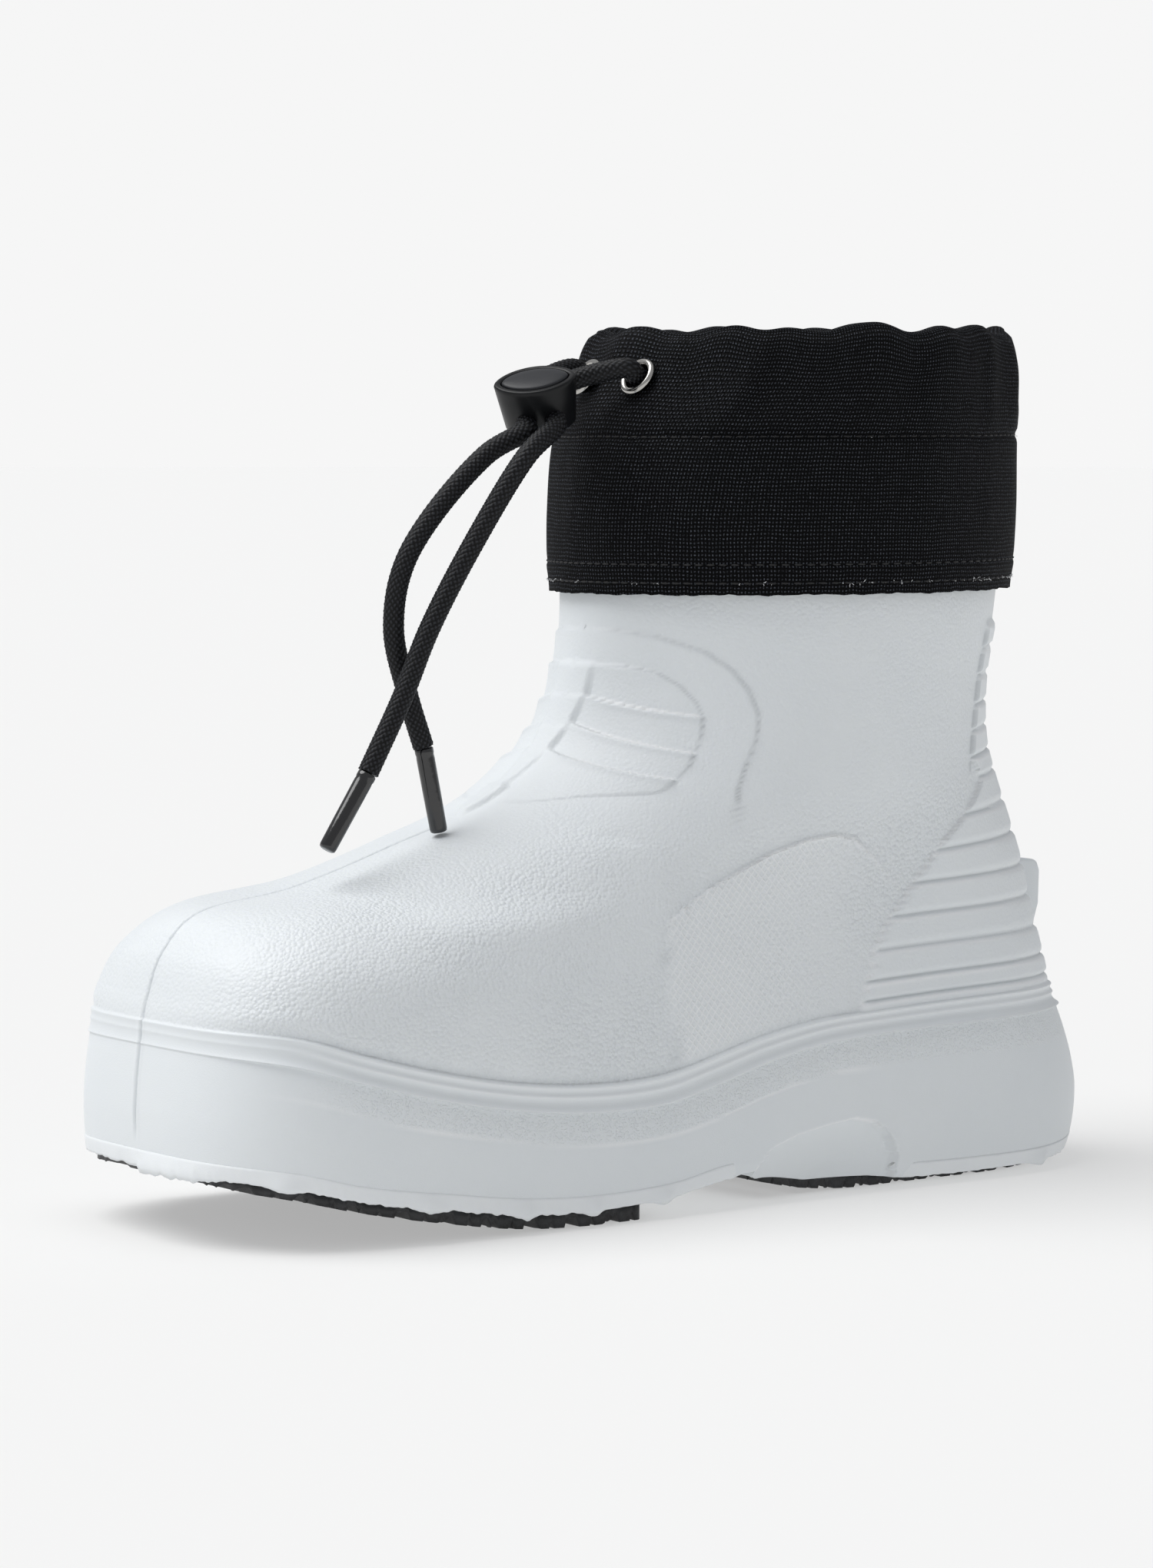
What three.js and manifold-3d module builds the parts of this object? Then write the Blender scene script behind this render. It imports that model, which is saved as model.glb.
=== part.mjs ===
// Winter ankle boot, left foot: a moulded foam shell with its sole wall in one piece, two rubber
// treads, an insole, and a gathered canvas cuff with a drawcord, two eyelets and a push-button lock.
// Millimetres, +Z up, toe towards -Y, the outer (lateral) side towards +X.
import * as THREE from "three";
import { mergeVertices } from "three/addons/utils/BufferGeometryUtils.js";
import Module from "manifold-3d";

const wasm = await Module();
wasm.setup();

// ---- sizes of the foot and shaft, taken where the upper meets the rand ----
const FOOT_LENGTH = 266;
const BALL_WIDTH = 97;
const WAIST_WIDTH = 85;
const HEEL_WIDTH = 78;
const INSTEP_HEIGHT = 110;
const SHAFT_LENGTH = 122;
const SHAFT_WIDTH = 94;
const SHAFT_RISE = 56; // from the instep to the rim of the moulded shaft
const SHAFT_MIDDLE = 55; // the shaft's middle lies this far behind the foot's middle
const TOE_SWING = 2.5; // how far the waist stands out sideways from the line of the toe
const WALL = 4;
const CLEAR = 0.3;

// ---- sizes of the sole ----
const SOLE_HEIGHT = 52;
const RAND_HEIGHT = 7;
const RAND_STEP = 1.1;
const HEEL_FLARE = 7.4;
const FLOOR_HEIGHT = 31;
const FLOOR_MARGIN = 9;
const FLOOR_ROUND = 6; // the rounding where the floor meets the wall
const INSOLE_THICK = 4;
const TREAD_MARGIN = 3;
const HEEL_TREAD_MARGIN = 9.5;
const LUG_DEPTH = 1.6;
const LUG_PITCH = 12;
const NOTCH_LENGTH = 48;
const NOTCH_HEIGHT = 16;
const NOTCH_DEPTH = 9;

// ---- sizes of the raised forms of the upper ----
const PAD_STEP = 1.2;
const BAND_STEP = 2;
const HEEL_RIB = 1.3;
const PANEL_STEP = 0.7;
const TAB_WIDTH = 18;
const TAB_HEIGHT = 22.5;
const TAB_REACH = 8;
const TAB_ROUND = 2;

// ---- sizes of the cuff and its cord ----
const CUFF_FOOT = 150;
const CUFF_HEIGHT = 65;
const CUFF_WALL = 2.4;
const CUFF_LEAN = 19.5; // how far the gathered front leans back
const CHANNEL_THICK = 9.2;
const CHANNEL_FACE = 0.8; // how far the channel stands out from the cloth below it
const CORD = 5;
const EYELET_OUTSIDE = 11;
const EYELET_BORE = 6.4;
const EYELET_SPREAD = 11;
const EYELET_SEAT = 1; // the flat flange stands this far off the curved cloth at its centre
const EYELET_LEVEL = 53; // above the foot of the cuff
const LOCK_LENGTH = 20.4;
const LOCK_DEPTH = 14;
const LOCK_HEIGHT = 13;
const LOCK_RIM = 1.7;
const BORE_SPREAD = 3.6;
const BUTTON_TRAVEL = 3;
const BUTTON_THICK = 3;
const AGLET_LENGTH = 21;
const AGLET_WIDTH = 4.6;

// One level of the upper per row, from the rand to the instep. Front and back are shares of the foot's
// length from its middle, heights are shares of the instep height, and ball, waist and heel are shares
// of those widths. A reach is how far an end's rounding goes in, a square how full its corners are, and
// wave how much of the rand's up and down the level keeps.
// front, its height, back, its height, ball, waist, heel, toe reach and square, heel reach and square, wave
const FOOT_LEVELS = [
  [-0.5, 0.469, 0.5, 0.418, 1.0, 1.0, 1.0, 0.195, 3.2, 0.165, 2.1, 1.0],
  [-0.495, 0.518, 0.4925, 0.486, 1.01, 0.976, 0.974, 0.195, 3.2, 0.165, 2.1, 0.9],
  [-0.4794, 0.614, 0.4774, 0.609, 0.985, 0.953, 0.949, 0.218, 2.8, 0.165, 2.1, 0.7],
  [-0.4417, 0.689, 0.4662, 0.718, 0.897, 0.941, 0.949, 0.248, 2.3, 0.173, 2.1, 0.5],
  [-0.344, 0.73, 0.4511, 0.832, 0.825, 0.941, 0.974, 0.301, 2.1, 0.18, 2.0, 0.3],
  [-0.235, 0.812, 0.4361, 0.923, 0.835, 0.965, 1.013, 0.301, 2.0, 0.195, 2.0, 0.15],
];
// The same for the shaft: lengths are shares of the shaft's length from its middle, heights are shares
// of its rise above the instep, and widths are shares of its width.
const SHAFT_LEVELS = [
  [-0.7623, -0.205, 0.4779, 0.0, 0.872, 0.894, 0.872, 0.574, 2.0, 0.459, 2.0, 0.06],
  [-0.6107, 0.009, 0.4689, 0.161, 0.889, 0.915, 0.904, 0.508, 2.0, 0.475, 2.0, 0.0],
  [-0.5328, 0.268, 0.473, 0.357, 0.915, 0.947, 0.936, 0.508, 2.0, 0.492, 2.0, 0.0],
  [-0.5041, 0.589, 0.495, 0.625, 0.947, 0.979, 0.968, 0.508, 2.0, 0.5, 2.0, 0.0],
  [-0.5035, 1.0, 0.512, 1.0, 0.968, 1.0, 0.989, 0.508, 2.0, 0.508, 2.0, 0.0],
];
const RIM = FOOT_LEVELS.length + SHAFT_LEVELS.length - 1;

// The sole along the foot, from toe to heel. Heights are shares of the sole's height, the band is a
// share of the rand's height, and the flare a share of the heel's flare.
// along, rand top, band, foam edge, tread, flare, floor (share of the floor's height)
const SOLE = [
  [0.0, 0.992, 0.8, 0.337, 0.292, 0.27, 0.97],
  [0.06, 0.962, 0.91, 0.298, 0.235, 0.27, 0.92],
  [0.12, 0.87, 0.9, 0.223, 0.162, 0.21, 0.855],
  [0.2, 0.765, 0.9, 0.16, 0.085, 0.24, 0.775],
  [0.28, 0.69, 0.9, 0.104, 0.023, 0.24, 0.725],
  [0.36, 0.654, 0.93, 0.083, 0.0, 0.24, 0.71],
  [0.44, 0.665, 0.96, 0.1, 0.0, 0.24, 0.725],
  [0.5, 0.731, 0.97, 0.152, 0.11, 0.26, 0.775],
  [0.56, 0.8, 0.89, 0.173, 0.1, 0.31, 0.84],
  [0.63, 0.852, 0.83, 0.119, 0.03, 0.38, 0.9],
  [0.7, 0.871, 0.81, 0.065, 0.0, 0.48, 0.95],
  [0.85, 0.896, 0.86, 0.054, 0.0, 0.72, 0.985],
  [0.95, 0.896, 0.81, 0.069, 0.01, 0.92, 1.0],
  [1.0, 0.885, 0.77, 0.115, 0.06, 1.0, 1.0],
];
// The foot's middle line: how far along from its middle, and the share of the toe's swing there.
const SWING = [[-0.53, -0.6], [-0.4, -0.2], [-0.21, 0.48], [0.02, 1], [0.24, 0.6], [0.55, 0]];
// The sole wall from its bottom edge (0) to the rand (1), and the share of the flare there.
const BULGE = [[0, 0.6], [0.12, 0.86], [0.4, 1.0], [0.62, 0.86], [0.82, 0.6], [1, 0.29]];
// The rand from its lower line (0) to its top (1): the share of its step at each line of its two ribs.
const RAND = [[0.03, 0.9], [0.42, 1.0], [0.5, 0.35], [0.58, 1.0], [0.95, 0.9]];

// ---- small functions ----
function smooth(table, column, x) {
  const n = table.length - 1;
  const at = Math.min(Math.max(x, table[0][0]), table[n][0]);
  let i = 0;
  while (i < n - 1 && at > table[i + 1][0]) i += 1;
  const slope = (k) => {
    const a = table[Math.max(k - 1, 0)];
    const b = table[Math.min(k + 1, n)];
    return (b[column] - a[column]) / (b[0] - a[0]);
  };
  const wide = table[i + 1][0] - table[i][0];
  const u = (at - table[i][0]) / wide;
  return (
    (2 * u ** 3 - 3 * u ** 2 + 1) * table[i][column] +
    (u ** 3 - 2 * u ** 2 + u) * wide * slope(i) +
    (3 * u ** 2 - 2 * u ** 3) * table[i + 1][column] +
    (u ** 3 - u ** 2) * wide * slope(i + 1)
  );
}
const mix = (a, b, u) => a + (b - a) * u;

const LEVELS = [
  ...FOOT_LEVELS.map((r) => [
    r[0] * FOOT_LENGTH, r[1] * INSTEP_HEIGHT, r[2] * FOOT_LENGTH, r[3] * INSTEP_HEIGHT,
    (r[4] * BALL_WIDTH) / 2, (r[5] * WAIST_WIDTH) / 2, (r[6] * HEEL_WIDTH) / 2,
    r[7] * FOOT_LENGTH, r[8], r[9] * FOOT_LENGTH, r[10], r[11],
  ]),
  ...SHAFT_LEVELS.map((r) => [
    SHAFT_MIDDLE + r[0] * SHAFT_LENGTH, INSTEP_HEIGHT + r[1] * SHAFT_RISE,
    SHAFT_MIDDLE + r[2] * SHAFT_LENGTH, INSTEP_HEIGHT + r[3] * SHAFT_RISE,
    (r[4] * SHAFT_WIDTH) / 2, (r[5] * SHAFT_WIDTH) / 2, (r[6] * SHAFT_WIDTH) / 2,
    r[7] * SHAFT_LENGTH, r[8], r[9] * SHAFT_LENGTH, r[10], r[11],
  ]),
].map((r, i) => [i, ...r]);
const level = (v) => LEVELS[0].slice(1).map((_, c) => smooth(LEVELS, c + 1, v));

const randTop = (s) => smooth(SOLE, 1, s) * SOLE_HEIGHT;
const randLow = (s) => randTop(s) - smooth(SOLE, 2, s) * RAND_HEIGHT;
const foamEdge = (s) => smooth(SOLE, 3, s) * SOLE_HEIGHT;
const tread = (s) => Math.max(0, smooth(SOLE, 4, s) * SOLE_HEIGHT);
const flare = (s) => smooth(SOLE, 5, s) * HEEL_FLARE;
const floorAt = (s) => smooth(SOLE, 6, s) * FLOOR_HEIGHT;
const bend = (y) => TOE_SWING * smooth(SWING, 1, y / FOOT_LENGTH);
const along = (t) => (1 - Math.cos(Math.PI * t)) / 2;
const cap = (reach, square, d) => {
  const u = Math.min(Math.max(d / reach, 0), 1);
  return (1 - (1 - u) ** square) ** (1 / square);
};

// A point of a level's outline. at runs from -1 (heel, inner side) over 0 (toe) to 1 (heel, outer side).
function outline(row, at, growToe = 0, growHeel = growToe, growSide = growToe, swing = 1) {
  const [front, frontZ, back, backZ, ball, waist, heel, toeR, toeN, heelR, heelN, wave] = row;
  const s = along(Math.abs(at));
  const y0 = front - growToe;
  const y1 = back + growHeel;
  const y = mix(y0, y1, s);
  const half =
    smooth([[0, ball], [0.28, ball], [0.58, waist], [0.84, heel], [1, heel]], 1, s) + growSide;
  const wide = half * cap(toeR + growToe, toeN, y - y0) * cap(heelR + growHeel, heelN, y1 - y);
  const line = mix(randTop(0), randTop(1), s);
  const z = mix(frontZ, backZ, s) + wave * (randTop(s) - line);
  return new THREE.Vector3(Math.sign(at) * wide + swing * bend(y), y, z);
}
const RAND_INSET = 0.9; // the upper stands in from the rand by this much
function upperPoint(at, v) {
  return outline(level(v), at, -RAND_INSET * Math.exp(-2.2 * v), undefined, undefined, 1 - v / RIM);
}
function upperNormal(at, v) {
  const e = 0.004;
  const wrap = (a) => (a > 1 ? a - 2 : a < -1 ? a + 2 : a);
  const low = Math.max(v - 0.05, 0);
  const high = Math.min(v + 0.05, RIM);
  const across = upperPoint(wrap(at + e), v).sub(upperPoint(wrap(at - e), v));
  const up = upperPoint(at, high).sub(upperPoint(at, low));
  return across.cross(up).normalize();
}
function wallPoint(at, q) {
  const s = along(Math.abs(at));
  const share = smooth(BULGE, 1, q);
  const p = outline(
    level(0), at, flare(0) * share, flare(1) * share, flare(s) * share,
  );
  p.z = mix(foamEdge(s), randLow(s), q);
  return p;
}
function randPoint(at, f, step) {
  const s = along(Math.abs(at));
  const keep = BULGE[BULGE.length - 1][1] * (1 - f) * (1 - f);
  const p = outline(
    level(0), at, flare(0) * keep + step, flare(1) * keep + step, flare(s) * keep + step,
  );
  p.z = mix(randLow(s), randTop(s), f);
  return p;
}

// Signed places round a level, from the toe over the outer side and the heel back to the toe.
function places(count) {
  const out = [];
  for (let i = 0; i <= count; i += 1) out.push(i / count);
  for (let i = count - 1; i > 0; i -= 1) out.push(-i / count);
  return out;
}
function geometryOf(points, faces) {
  const flat = new Float32Array(points.flatMap((p) => [p.x, p.y, p.z]));
  const g = new THREE.BufferGeometry();
  g.setAttribute("position", new THREE.BufferAttribute(flat, 3));
  g.setIndex(faces.flat());
  return g;
}
function solid(geometry) {
  const g = geometry.clone();
  for (const name of Object.keys(g.attributes)) if (name !== "position") g.deleteAttribute(name);
  const merged = mergeVertices(g, 1e-4);
  const made = new wasm.Manifold(
    new wasm.Mesh({
      numProp: 3,
      vertProperties: new Float32Array(merged.attributes.position.array),
      triVerts: new Uint32Array(merged.index.array),
    }),
  );
  if (made.volume() > 0) return made;
  const turned = new Uint32Array(merged.index.array);
  for (let i = 0; i < turned.length; i += 3) {
    [turned[i + 1], turned[i + 2]] = [turned[i + 2], turned[i + 1]];
  }
  return new wasm.Manifold(
    new wasm.Mesh({
      numProp: 3,
      vertProperties: new Float32Array(merged.attributes.position.array),
      triVerts: turned,
    }),
  );
}
function meshOf(made, name, material) {
  const m = made.getMesh();
  const g = new THREE.BufferGeometry();
  const flat = new Float32Array(m.numVert * 3);
  for (let i = 0; i < m.numVert; i += 1) {
    flat.set(m.vertProperties.subarray(i * m.numProp, i * m.numProp + 3), i * 3);
  }
  g.setAttribute("position", new THREE.BufferAttribute(flat, 3));
  g.setIndex(new THREE.BufferAttribute(new Uint32Array(m.triVerts), 1));
  g.computeVertexNormals();
  const mesh = new THREE.Mesh(g, material);
  mesh.name = name;
  return mesh;
}

// Rings of equal count joined into one closed solid. A ring's ends are closed by strips from one side
// of the foot to the other; a ring list marked as a loop joins its last ring to its first instead.
function ringSolid(rings, loop = false) {
  const n = rings[0].length;
  const points = rings.flat();
  const faces = [];
  const last = loop ? rings.length : rings.length - 1;
  for (let r = 0; r < last; r += 1) {
    const a = r * n;
    const b = ((r + 1) % rings.length) * n;
    for (let i = 0; i < n; i += 1) {
      const j = (i + 1) % n;
      faces.push([a + i, a + j, b + j], [a + i, b + j, b + i]);
    }
  }
  const close = (start, turn) => {
    const put = (x, y, z) => faces.push(turn ? [x, z, y] : [x, y, z]);
    for (let i = 0; i < n / 2; i += 1) {
      const l0 = start + i;
      const l1 = start + i + 1;
      const m0 = start + ((n - i) % n);
      const m1 = start + n - i - 1;
      if (l0 !== m0) put(l0, m0, m1);
      if (l1 !== m1) put(l0, m1, l1);
    }
  };
  if (!loop) {
    close(0, false);
    close((rings.length - 1) * n, true);
  }
  return solid(geometryOf(points, faces));
}

// A raised form on the upper: rows of [place, level, height] points, lifted from the surface, and
// their feet a little inside the wall.
function raised(rows) {
  const root = 0.4 * WALL;
  const n = rows[0].length;
  const tops = [];
  const feet = [];
  for (const row of rows) {
    for (const [at, v, height] of row) {
      const p = upperPoint(at, v);
      const normal = upperNormal(at, v);
      tops.push(p.clone().addScaledVector(normal, height));
      feet.push(p.clone().addScaledVector(normal, -root));
    }
  }
  const points = [...tops, ...feet];
  const f = tops.length;
  const faces = [];
  const quad = (a, b, c, d) => faces.push([a, b, c], [a, c, d]);
  for (let r = 0; r < rows.length - 1; r += 1) {
    for (let i = 0; i < n - 1; i += 1) {
      const a = r * n + i;
      quad(a, a + 1, a + n + 1, a + n);
      quad(f + a + n, f + a + n + 1, f + a + 1, f + a);
    }
  }
  for (let i = 0; i < n - 1; i += 1) {
    quad(f + i, f + i + 1, i + 1, i);
    const a = (rows.length - 1) * n + i;
    quad(a, a + 1, f + a + 1, f + a);
  }
  for (let r = 0; r < rows.length - 1; r += 1) {
    const a = r * n;
    quad(a, a + n, f + a + n, f + a);
    const b = r * n + n - 1;
    quad(f + b, f + b + n, b + n, b);
  }
  return solid(geometryOf(points, faces));
}

// ---- shell: upper, shaft and sole wall, moulded as one ----
const STATIONS = 20; // along each side of the foot
const ROUND = places(STATIONS);
const upperLevels = [0.02, 0.5, 1.2, 1.9, 2.5, 3.1, 3.8, 4.7, 5.7, 6.7, 7.7, 8.8, RIM];
const innerLevels = [0.8, 1.8, 2.7, 3.4, 4.4, 5.6, 6.8, 8.2, RIM];

function floorRing(margin, lift) {
  return ROUND.map((at) => {
    const p = outline(level(0), at, -margin);
    p.z = floorAt(along(Math.abs(at))) + lift;
    return p;
  });
}
const shellRings = [
  ...[0, 0.12, 0.4, 0.62, 0.82, 1].map((q) => ROUND.map((at) => wallPoint(at, q))),
  ...RAND.map(([f, step]) => ROUND.map((at) => randPoint(at, f, step * RAND_STEP))),
  ...upperLevels.map((v) => ROUND.map((at) => upperPoint(at, v))),
  ...[...innerLevels].reverse().map((v) =>
    ROUND.map((at) => {
      const inward = upperNormal(at, v);
      if (v === RIM) inward.setZ(0).normalize();
      return upperPoint(at, v).addScaledVector(inward, -WALL);
    }),
  ),
  floorRing(0.6 * FLOOR_MARGIN, FLOOR_ROUND),
  floorRing(0.78 * FLOOR_MARGIN, 0.27 * FLOOR_ROUND),
  floorRing(FLOOR_MARGIN, 0),
];

// The pad on the instep, its edge and the step of each of its ribs.
// level, how far round its edge lies, share of the step
const PAD = [
  [6.12, 0.25, 0.7], [6.4, 0.284, 1.0], [6.46, 0.285, 0.55], [6.9, 0.281, 1.0], [6.97, 0.28, 0.55],
  [7.55, 0.265, 1.05], [7.62, 0.262, 0.6], [7.95, 0.238, 0.8], [8.2, 0.2, 0.9], [8.42, 0.13, 0.9],
];
const padAcross = [-1, -0.7, -0.35, 0, 0.35, 0.7, 1];
const padRows = PAD.map(([v, edge, step]) => {
  const arch = 0.42 * Math.min(1, (PAD[PAD.length - 1][0] - v) / 0.8); // each rib rises to its middle
  return padAcross.map((u) => [u * edge, v + arch * (1 - Math.abs(u)), step * PAD_STEP]);
});
// The narrow band on its middle, stepped like a stair.
// level, how far round its edge lies, share of the step
const BAND = [
  [5.8, 0.016, 0.25], [6.28, 0.026, 1.0], [6.34, 0.026, 0.6], [6.84, 0.027, 1.15], [6.9, 0.029, 0.75],
  [7.36, 0.036, 1.2], [7.42, 0.037, 0.8], [7.9, 0.046, 1.2], [7.96, 0.046, 0.8], [8.4, 0.05, 0.9],
];
const bandRows = BAND.map(([v, edge, step]) =>
  [-1, -0.5, 0, 0.5, 1].map((u) => [u * edge, v, step * BAND_STEP]),
);
// The panel on each side of the foot: a row per level, from its front edge to its back edge.
const PANEL = [
  [0.3, 0.47, 0.61], [1.1, 0.47, 0.62], [2.0, 0.468, 0.64], [3.1, 0.463, 0.67],
  [3.6, 0.472, 0.64], [4.1, 0.494, 0.61], [4.4, 0.53, 0.575],
];
const panelRows = (side) =>
  PANEL.map(([v, front, back]) =>
    [0, 0.33, 0.66, 1].map((u) => [side * mix(front, back, u), v, PANEL_STEP * (1 - 0.6 * u)]),
  );
// The ribs on the heel: the level of each groove, and how far round from the heel the field's edge lies.
const GROOVES = [
  [0.42, 0.377], [1.03, 0.37], [1.6, 0.359], [2.2, 0.342], [2.9, 0.316], [3.59, 0.293], [4.32, 0.268],
  [5.2, 0.246], [5.85, 0.249], [6.6, 0.25], [7.25, 0.25], [7.9, 0.25], [8.4, 0.25], [8.8, 0.25],
];
const heelAcross = [-1, -0.75, -0.5, -0.25, 0, 0.25, 0.5, 0.75, 1];
const heelRows = [];
GROOVES.forEach(([v, edge], i) => {
  const row = (height, reach, step) =>
    heelRows.push(
      heelAcross.map((u) => [u < 0 ? -(1 + u * reach) : 1 - u * reach, height, step]),
    );
  row(v, edge, HEEL_RIB * 0.35);
  if (i === GROOVES.length - 1) return;
  const [next, nextEdge] = GROOVES[i + 1];
  row(mix(v, next, 0.4), mix(edge, nextEdge, 0.4), HEEL_RIB);
});

// The kick tab stands on the middle of the heel's back.
function heelTab() {
  const foot = upperPoint(1, 1.15);
  const root = 1.5 * WALL;
  const reach = TAB_REACH;
  const side = new THREE.Shape();
  side.moveTo(-root, 0);
  side.lineTo(0.2 * reach, 0);
  side.lineTo(0.62 * reach, 0.45 * TAB_HEIGHT);
  side.lineTo(0.66 * reach, 0.84 * TAB_HEIGHT);
  side.quadraticCurveTo(0.68 * reach, 0.95 * TAB_HEIGHT, 0.35 * reach, 0.98 * TAB_HEIGHT);
  side.lineTo(-root, TAB_HEIGHT);
  side.closePath();
  const g = new THREE.ExtrudeGeometry(side, {
    depth: TAB_WIDTH - 2 * TAB_ROUND,
    bevelEnabled: true,
    bevelSize: 0.7 * TAB_ROUND,
    bevelThickness: TAB_ROUND,
    bevelSegments: 2,
    curveSegments: 4,
  });
  // the side profile's X turns to Y and its Y to Z
  g.applyMatrix4(
    new THREE.Matrix4().makeBasis(
      new THREE.Vector3(0, 1, 0), new THREE.Vector3(0, 0, 1), new THREE.Vector3(1, 0, 0),
    ),
  );
  g.translate(foot.x - TAB_WIDTH / 2 + TAB_ROUND, foot.y - 0.25 * WALL, foot.z);
  return solid(g);
}

// The scoop at the arch, cut into the side of the sole: [along, height] of its outline as shares.
const NOTCH = [
  [-0.52, -0.6], [-0.5, -0.1], [-0.46, 0.2], [-0.34, 0.68], [-0.18, 0.84], [0.04, 0.95], [0.2, 1.0],
  [0.32, 0.92], [0.42, 0.7], [0.48, 0.35], [0.5, -0.1], [0.5, -0.6],
];
function notch(side) {
  const place = 0.618; // along the foot
  const row = level(0);
  const y = mix(row[0], row[2], place);
  const middle = outline(row, side * (Math.acos(1 - 2 * place) / Math.PI), flare(place));
  const rings = [];
  const steps = [[-0.55, 1.06], [0, 1], [0.35, 0.95], [0.7, 0.82], [0.93, 0.6], [1, 0.35]];
  for (const [depth, size] of steps) {
    const x = middle.x - side * depth * NOTCH_DEPTH;
    rings.push(
      NOTCH.map(
        ([a, b]) =>
          new THREE.Vector3(
            x,
            y + (0.12 + (a - 0.12) * size) * NOTCH_LENGTH,
            foamEdge(0.7) + b * NOTCH_HEIGHT * (b > 0 ? size : 1),
          ),
      ),
    );
  }
  const n = NOTCH.length;
  const faces = [];
  for (let r = 0; r < rings.length - 1; r += 1) {
    for (let i = 0; i < n; i += 1) {
      const j = (i + 1) % n;
      const a = r * n;
      const b = a + n;
      faces.push([a + i, a + j, b + j], [a + i, b + j, b + i]);
    }
  }
  const points = rings.flat();
  const last = (rings.length - 1) * n;
  for (const start of [0, last]) {
    const hub = points.length;
    points.push(new THREE.Vector3(rings[start / n][0].x, y, foamEdge(0.7)));
    for (let i = 0; i < n; i += 1) {
      const j = (i + 1) % n;
      faces.push(start === 0 ? [j, i, hub] : [start + i, start + j, hub]);
    }
  }
  return solid(geometryOf(points, faces));
}

let shell = ringSolid(shellRings);
for (const form of [raised(padRows), raised(bandRows), raised(panelRows(1)), raised(panelRows(-1)),
  raised(heelRows), heelTab()]) {
  shell = shell.add(form);
}
for (const side of [1, -1]) shell = shell.subtract(notch(side));

// ---- treads: a thin rubber sheet under the foam, with lugs ----
const treadAcross = [1, 0, -1];
// The foam's bottom edge at a station, which may lie between two of the shell's own.
function bottomAt(k) {
  const i = Math.min(Math.floor(k), STATIONS - 1);
  const pick = (side) =>
    wallPoint((side * i) / STATIONS, 0).lerp(wallPoint((side * (i + 1)) / STATIONS, 0), k - i);
  return [pick(1), pick(-1)];
}
function treadSheet(from, to, margin) {
  const stations = [from];
  for (let k = Math.floor(from) + 1; k < to; k += 1) stations.push(k, Math.min(k + 0.5, to - 0.01));
  stations.push(to);
  const rows = stations.map((k, i) => {
    const [outer, inner] = bottomAt(k);
    const middle = (outer.x + inner.x) / 2;
    const ending = i === 0 || i === stations.length - 1 ? 0.85 : 1;
    const wide = Math.max(((outer.x - inner.x) / 2 - margin) * ending, 2);
    const row = level(0);
    const ground = tread((outer.y - row[0]) / (row[2] - row[0]));
    const top = outer.z - CLEAR;
    const low = Math.min(top - 0.8, ground + Math.min(LUG_DEPTH, 0.5 * (top - ground)));
    return treadAcross.map((u) => ({ x: middle + u * wide, y: outer.y, top, low }));
  });
  const n = treadAcross.length;
  const points = [];
  rows.forEach((row) => row.forEach((p) => points.push(new THREE.Vector3(p.x, p.y, p.top))));
  const f = points.length;
  rows.forEach((row) => row.forEach((p) => points.push(new THREE.Vector3(p.x, p.y, p.low))));
  const faces = [];
  const quad = (a, b, c, d) => faces.push([a, b, c], [a, c, d]);
  for (let r = 0; r < rows.length - 1; r += 1) {
    for (let i = 0; i < n - 1; i += 1) {
      const a = r * n + i;
      quad(a, a + 1, a + n + 1, a + n);
      quad(f + a + n, f + a + n + 1, f + a + 1, f + a);
    }
    const a = r * n;
    quad(a, a + n, f + a + n, f + a);
    quad(f + a + n - 1, f + a + 2 * n - 1, a + 2 * n - 1, a + n - 1);
  }
  for (let i = 0; i < n - 1; i += 1) {
    quad(f + i, f + i + 1, i + 1, i);
    const a = (rows.length - 1) * n + i;
    quad(a, a + 1, f + a + 1, f + a);
  }
  return { sheet: solid(geometryOf(points, faces)), rows };
}
// A lug reaches from the sheet to the ground line; its four corners follow the sole's rise.
function lug(rows, s0, s1, u0, u1, slant) {
  const at = (share, u) => {
    const x = share * (rows.length - 1);
    const i = Math.min(Math.floor(x), rows.length - 2);
    const edge = (k) => {
      const row = rows[k];
      return {
        x: mix(row[row.length - 1].x, row[0].x, (u + 1) / 2), y: row[0].y, top: row[0].low,
      };
    };
    const a = edge(i);
    const b = edge(i + 1);
    return { x: mix(a.x, b.x, x - i), y: mix(a.y, b.y, x - i), top: mix(a.top, b.top, x - i) };
  };
  const corners = [[s0, u0], [s0 + slant, u1], [s1 + slant, u1], [s1, u0]].map(([s, u]) =>
    at(Math.min(Math.max(s, 0), 1), u),
  );
  const row = level(0);
  const ground = (p) => tread((p.y - row[0]) / (row[2] - row[0]));
  const points = [
    ...corners.map((p) => new THREE.Vector3(p.x, p.y, ground(p))),
    ...corners.map((p) => new THREE.Vector3(p.x, p.y, p.top + 0.6)),
  ];
  const faces = [
    [0, 2, 1], [0, 3, 2], [4, 5, 6], [4, 6, 7],
    ...[0, 1, 2, 3].flatMap((i) => {
      const j = (i + 1) % 4;
      return [[i, j, 4 + j], [i, 4 + j, 4 + i]];
    }),
  ];
  return solid(geometryOf(points, faces));
}
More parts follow.
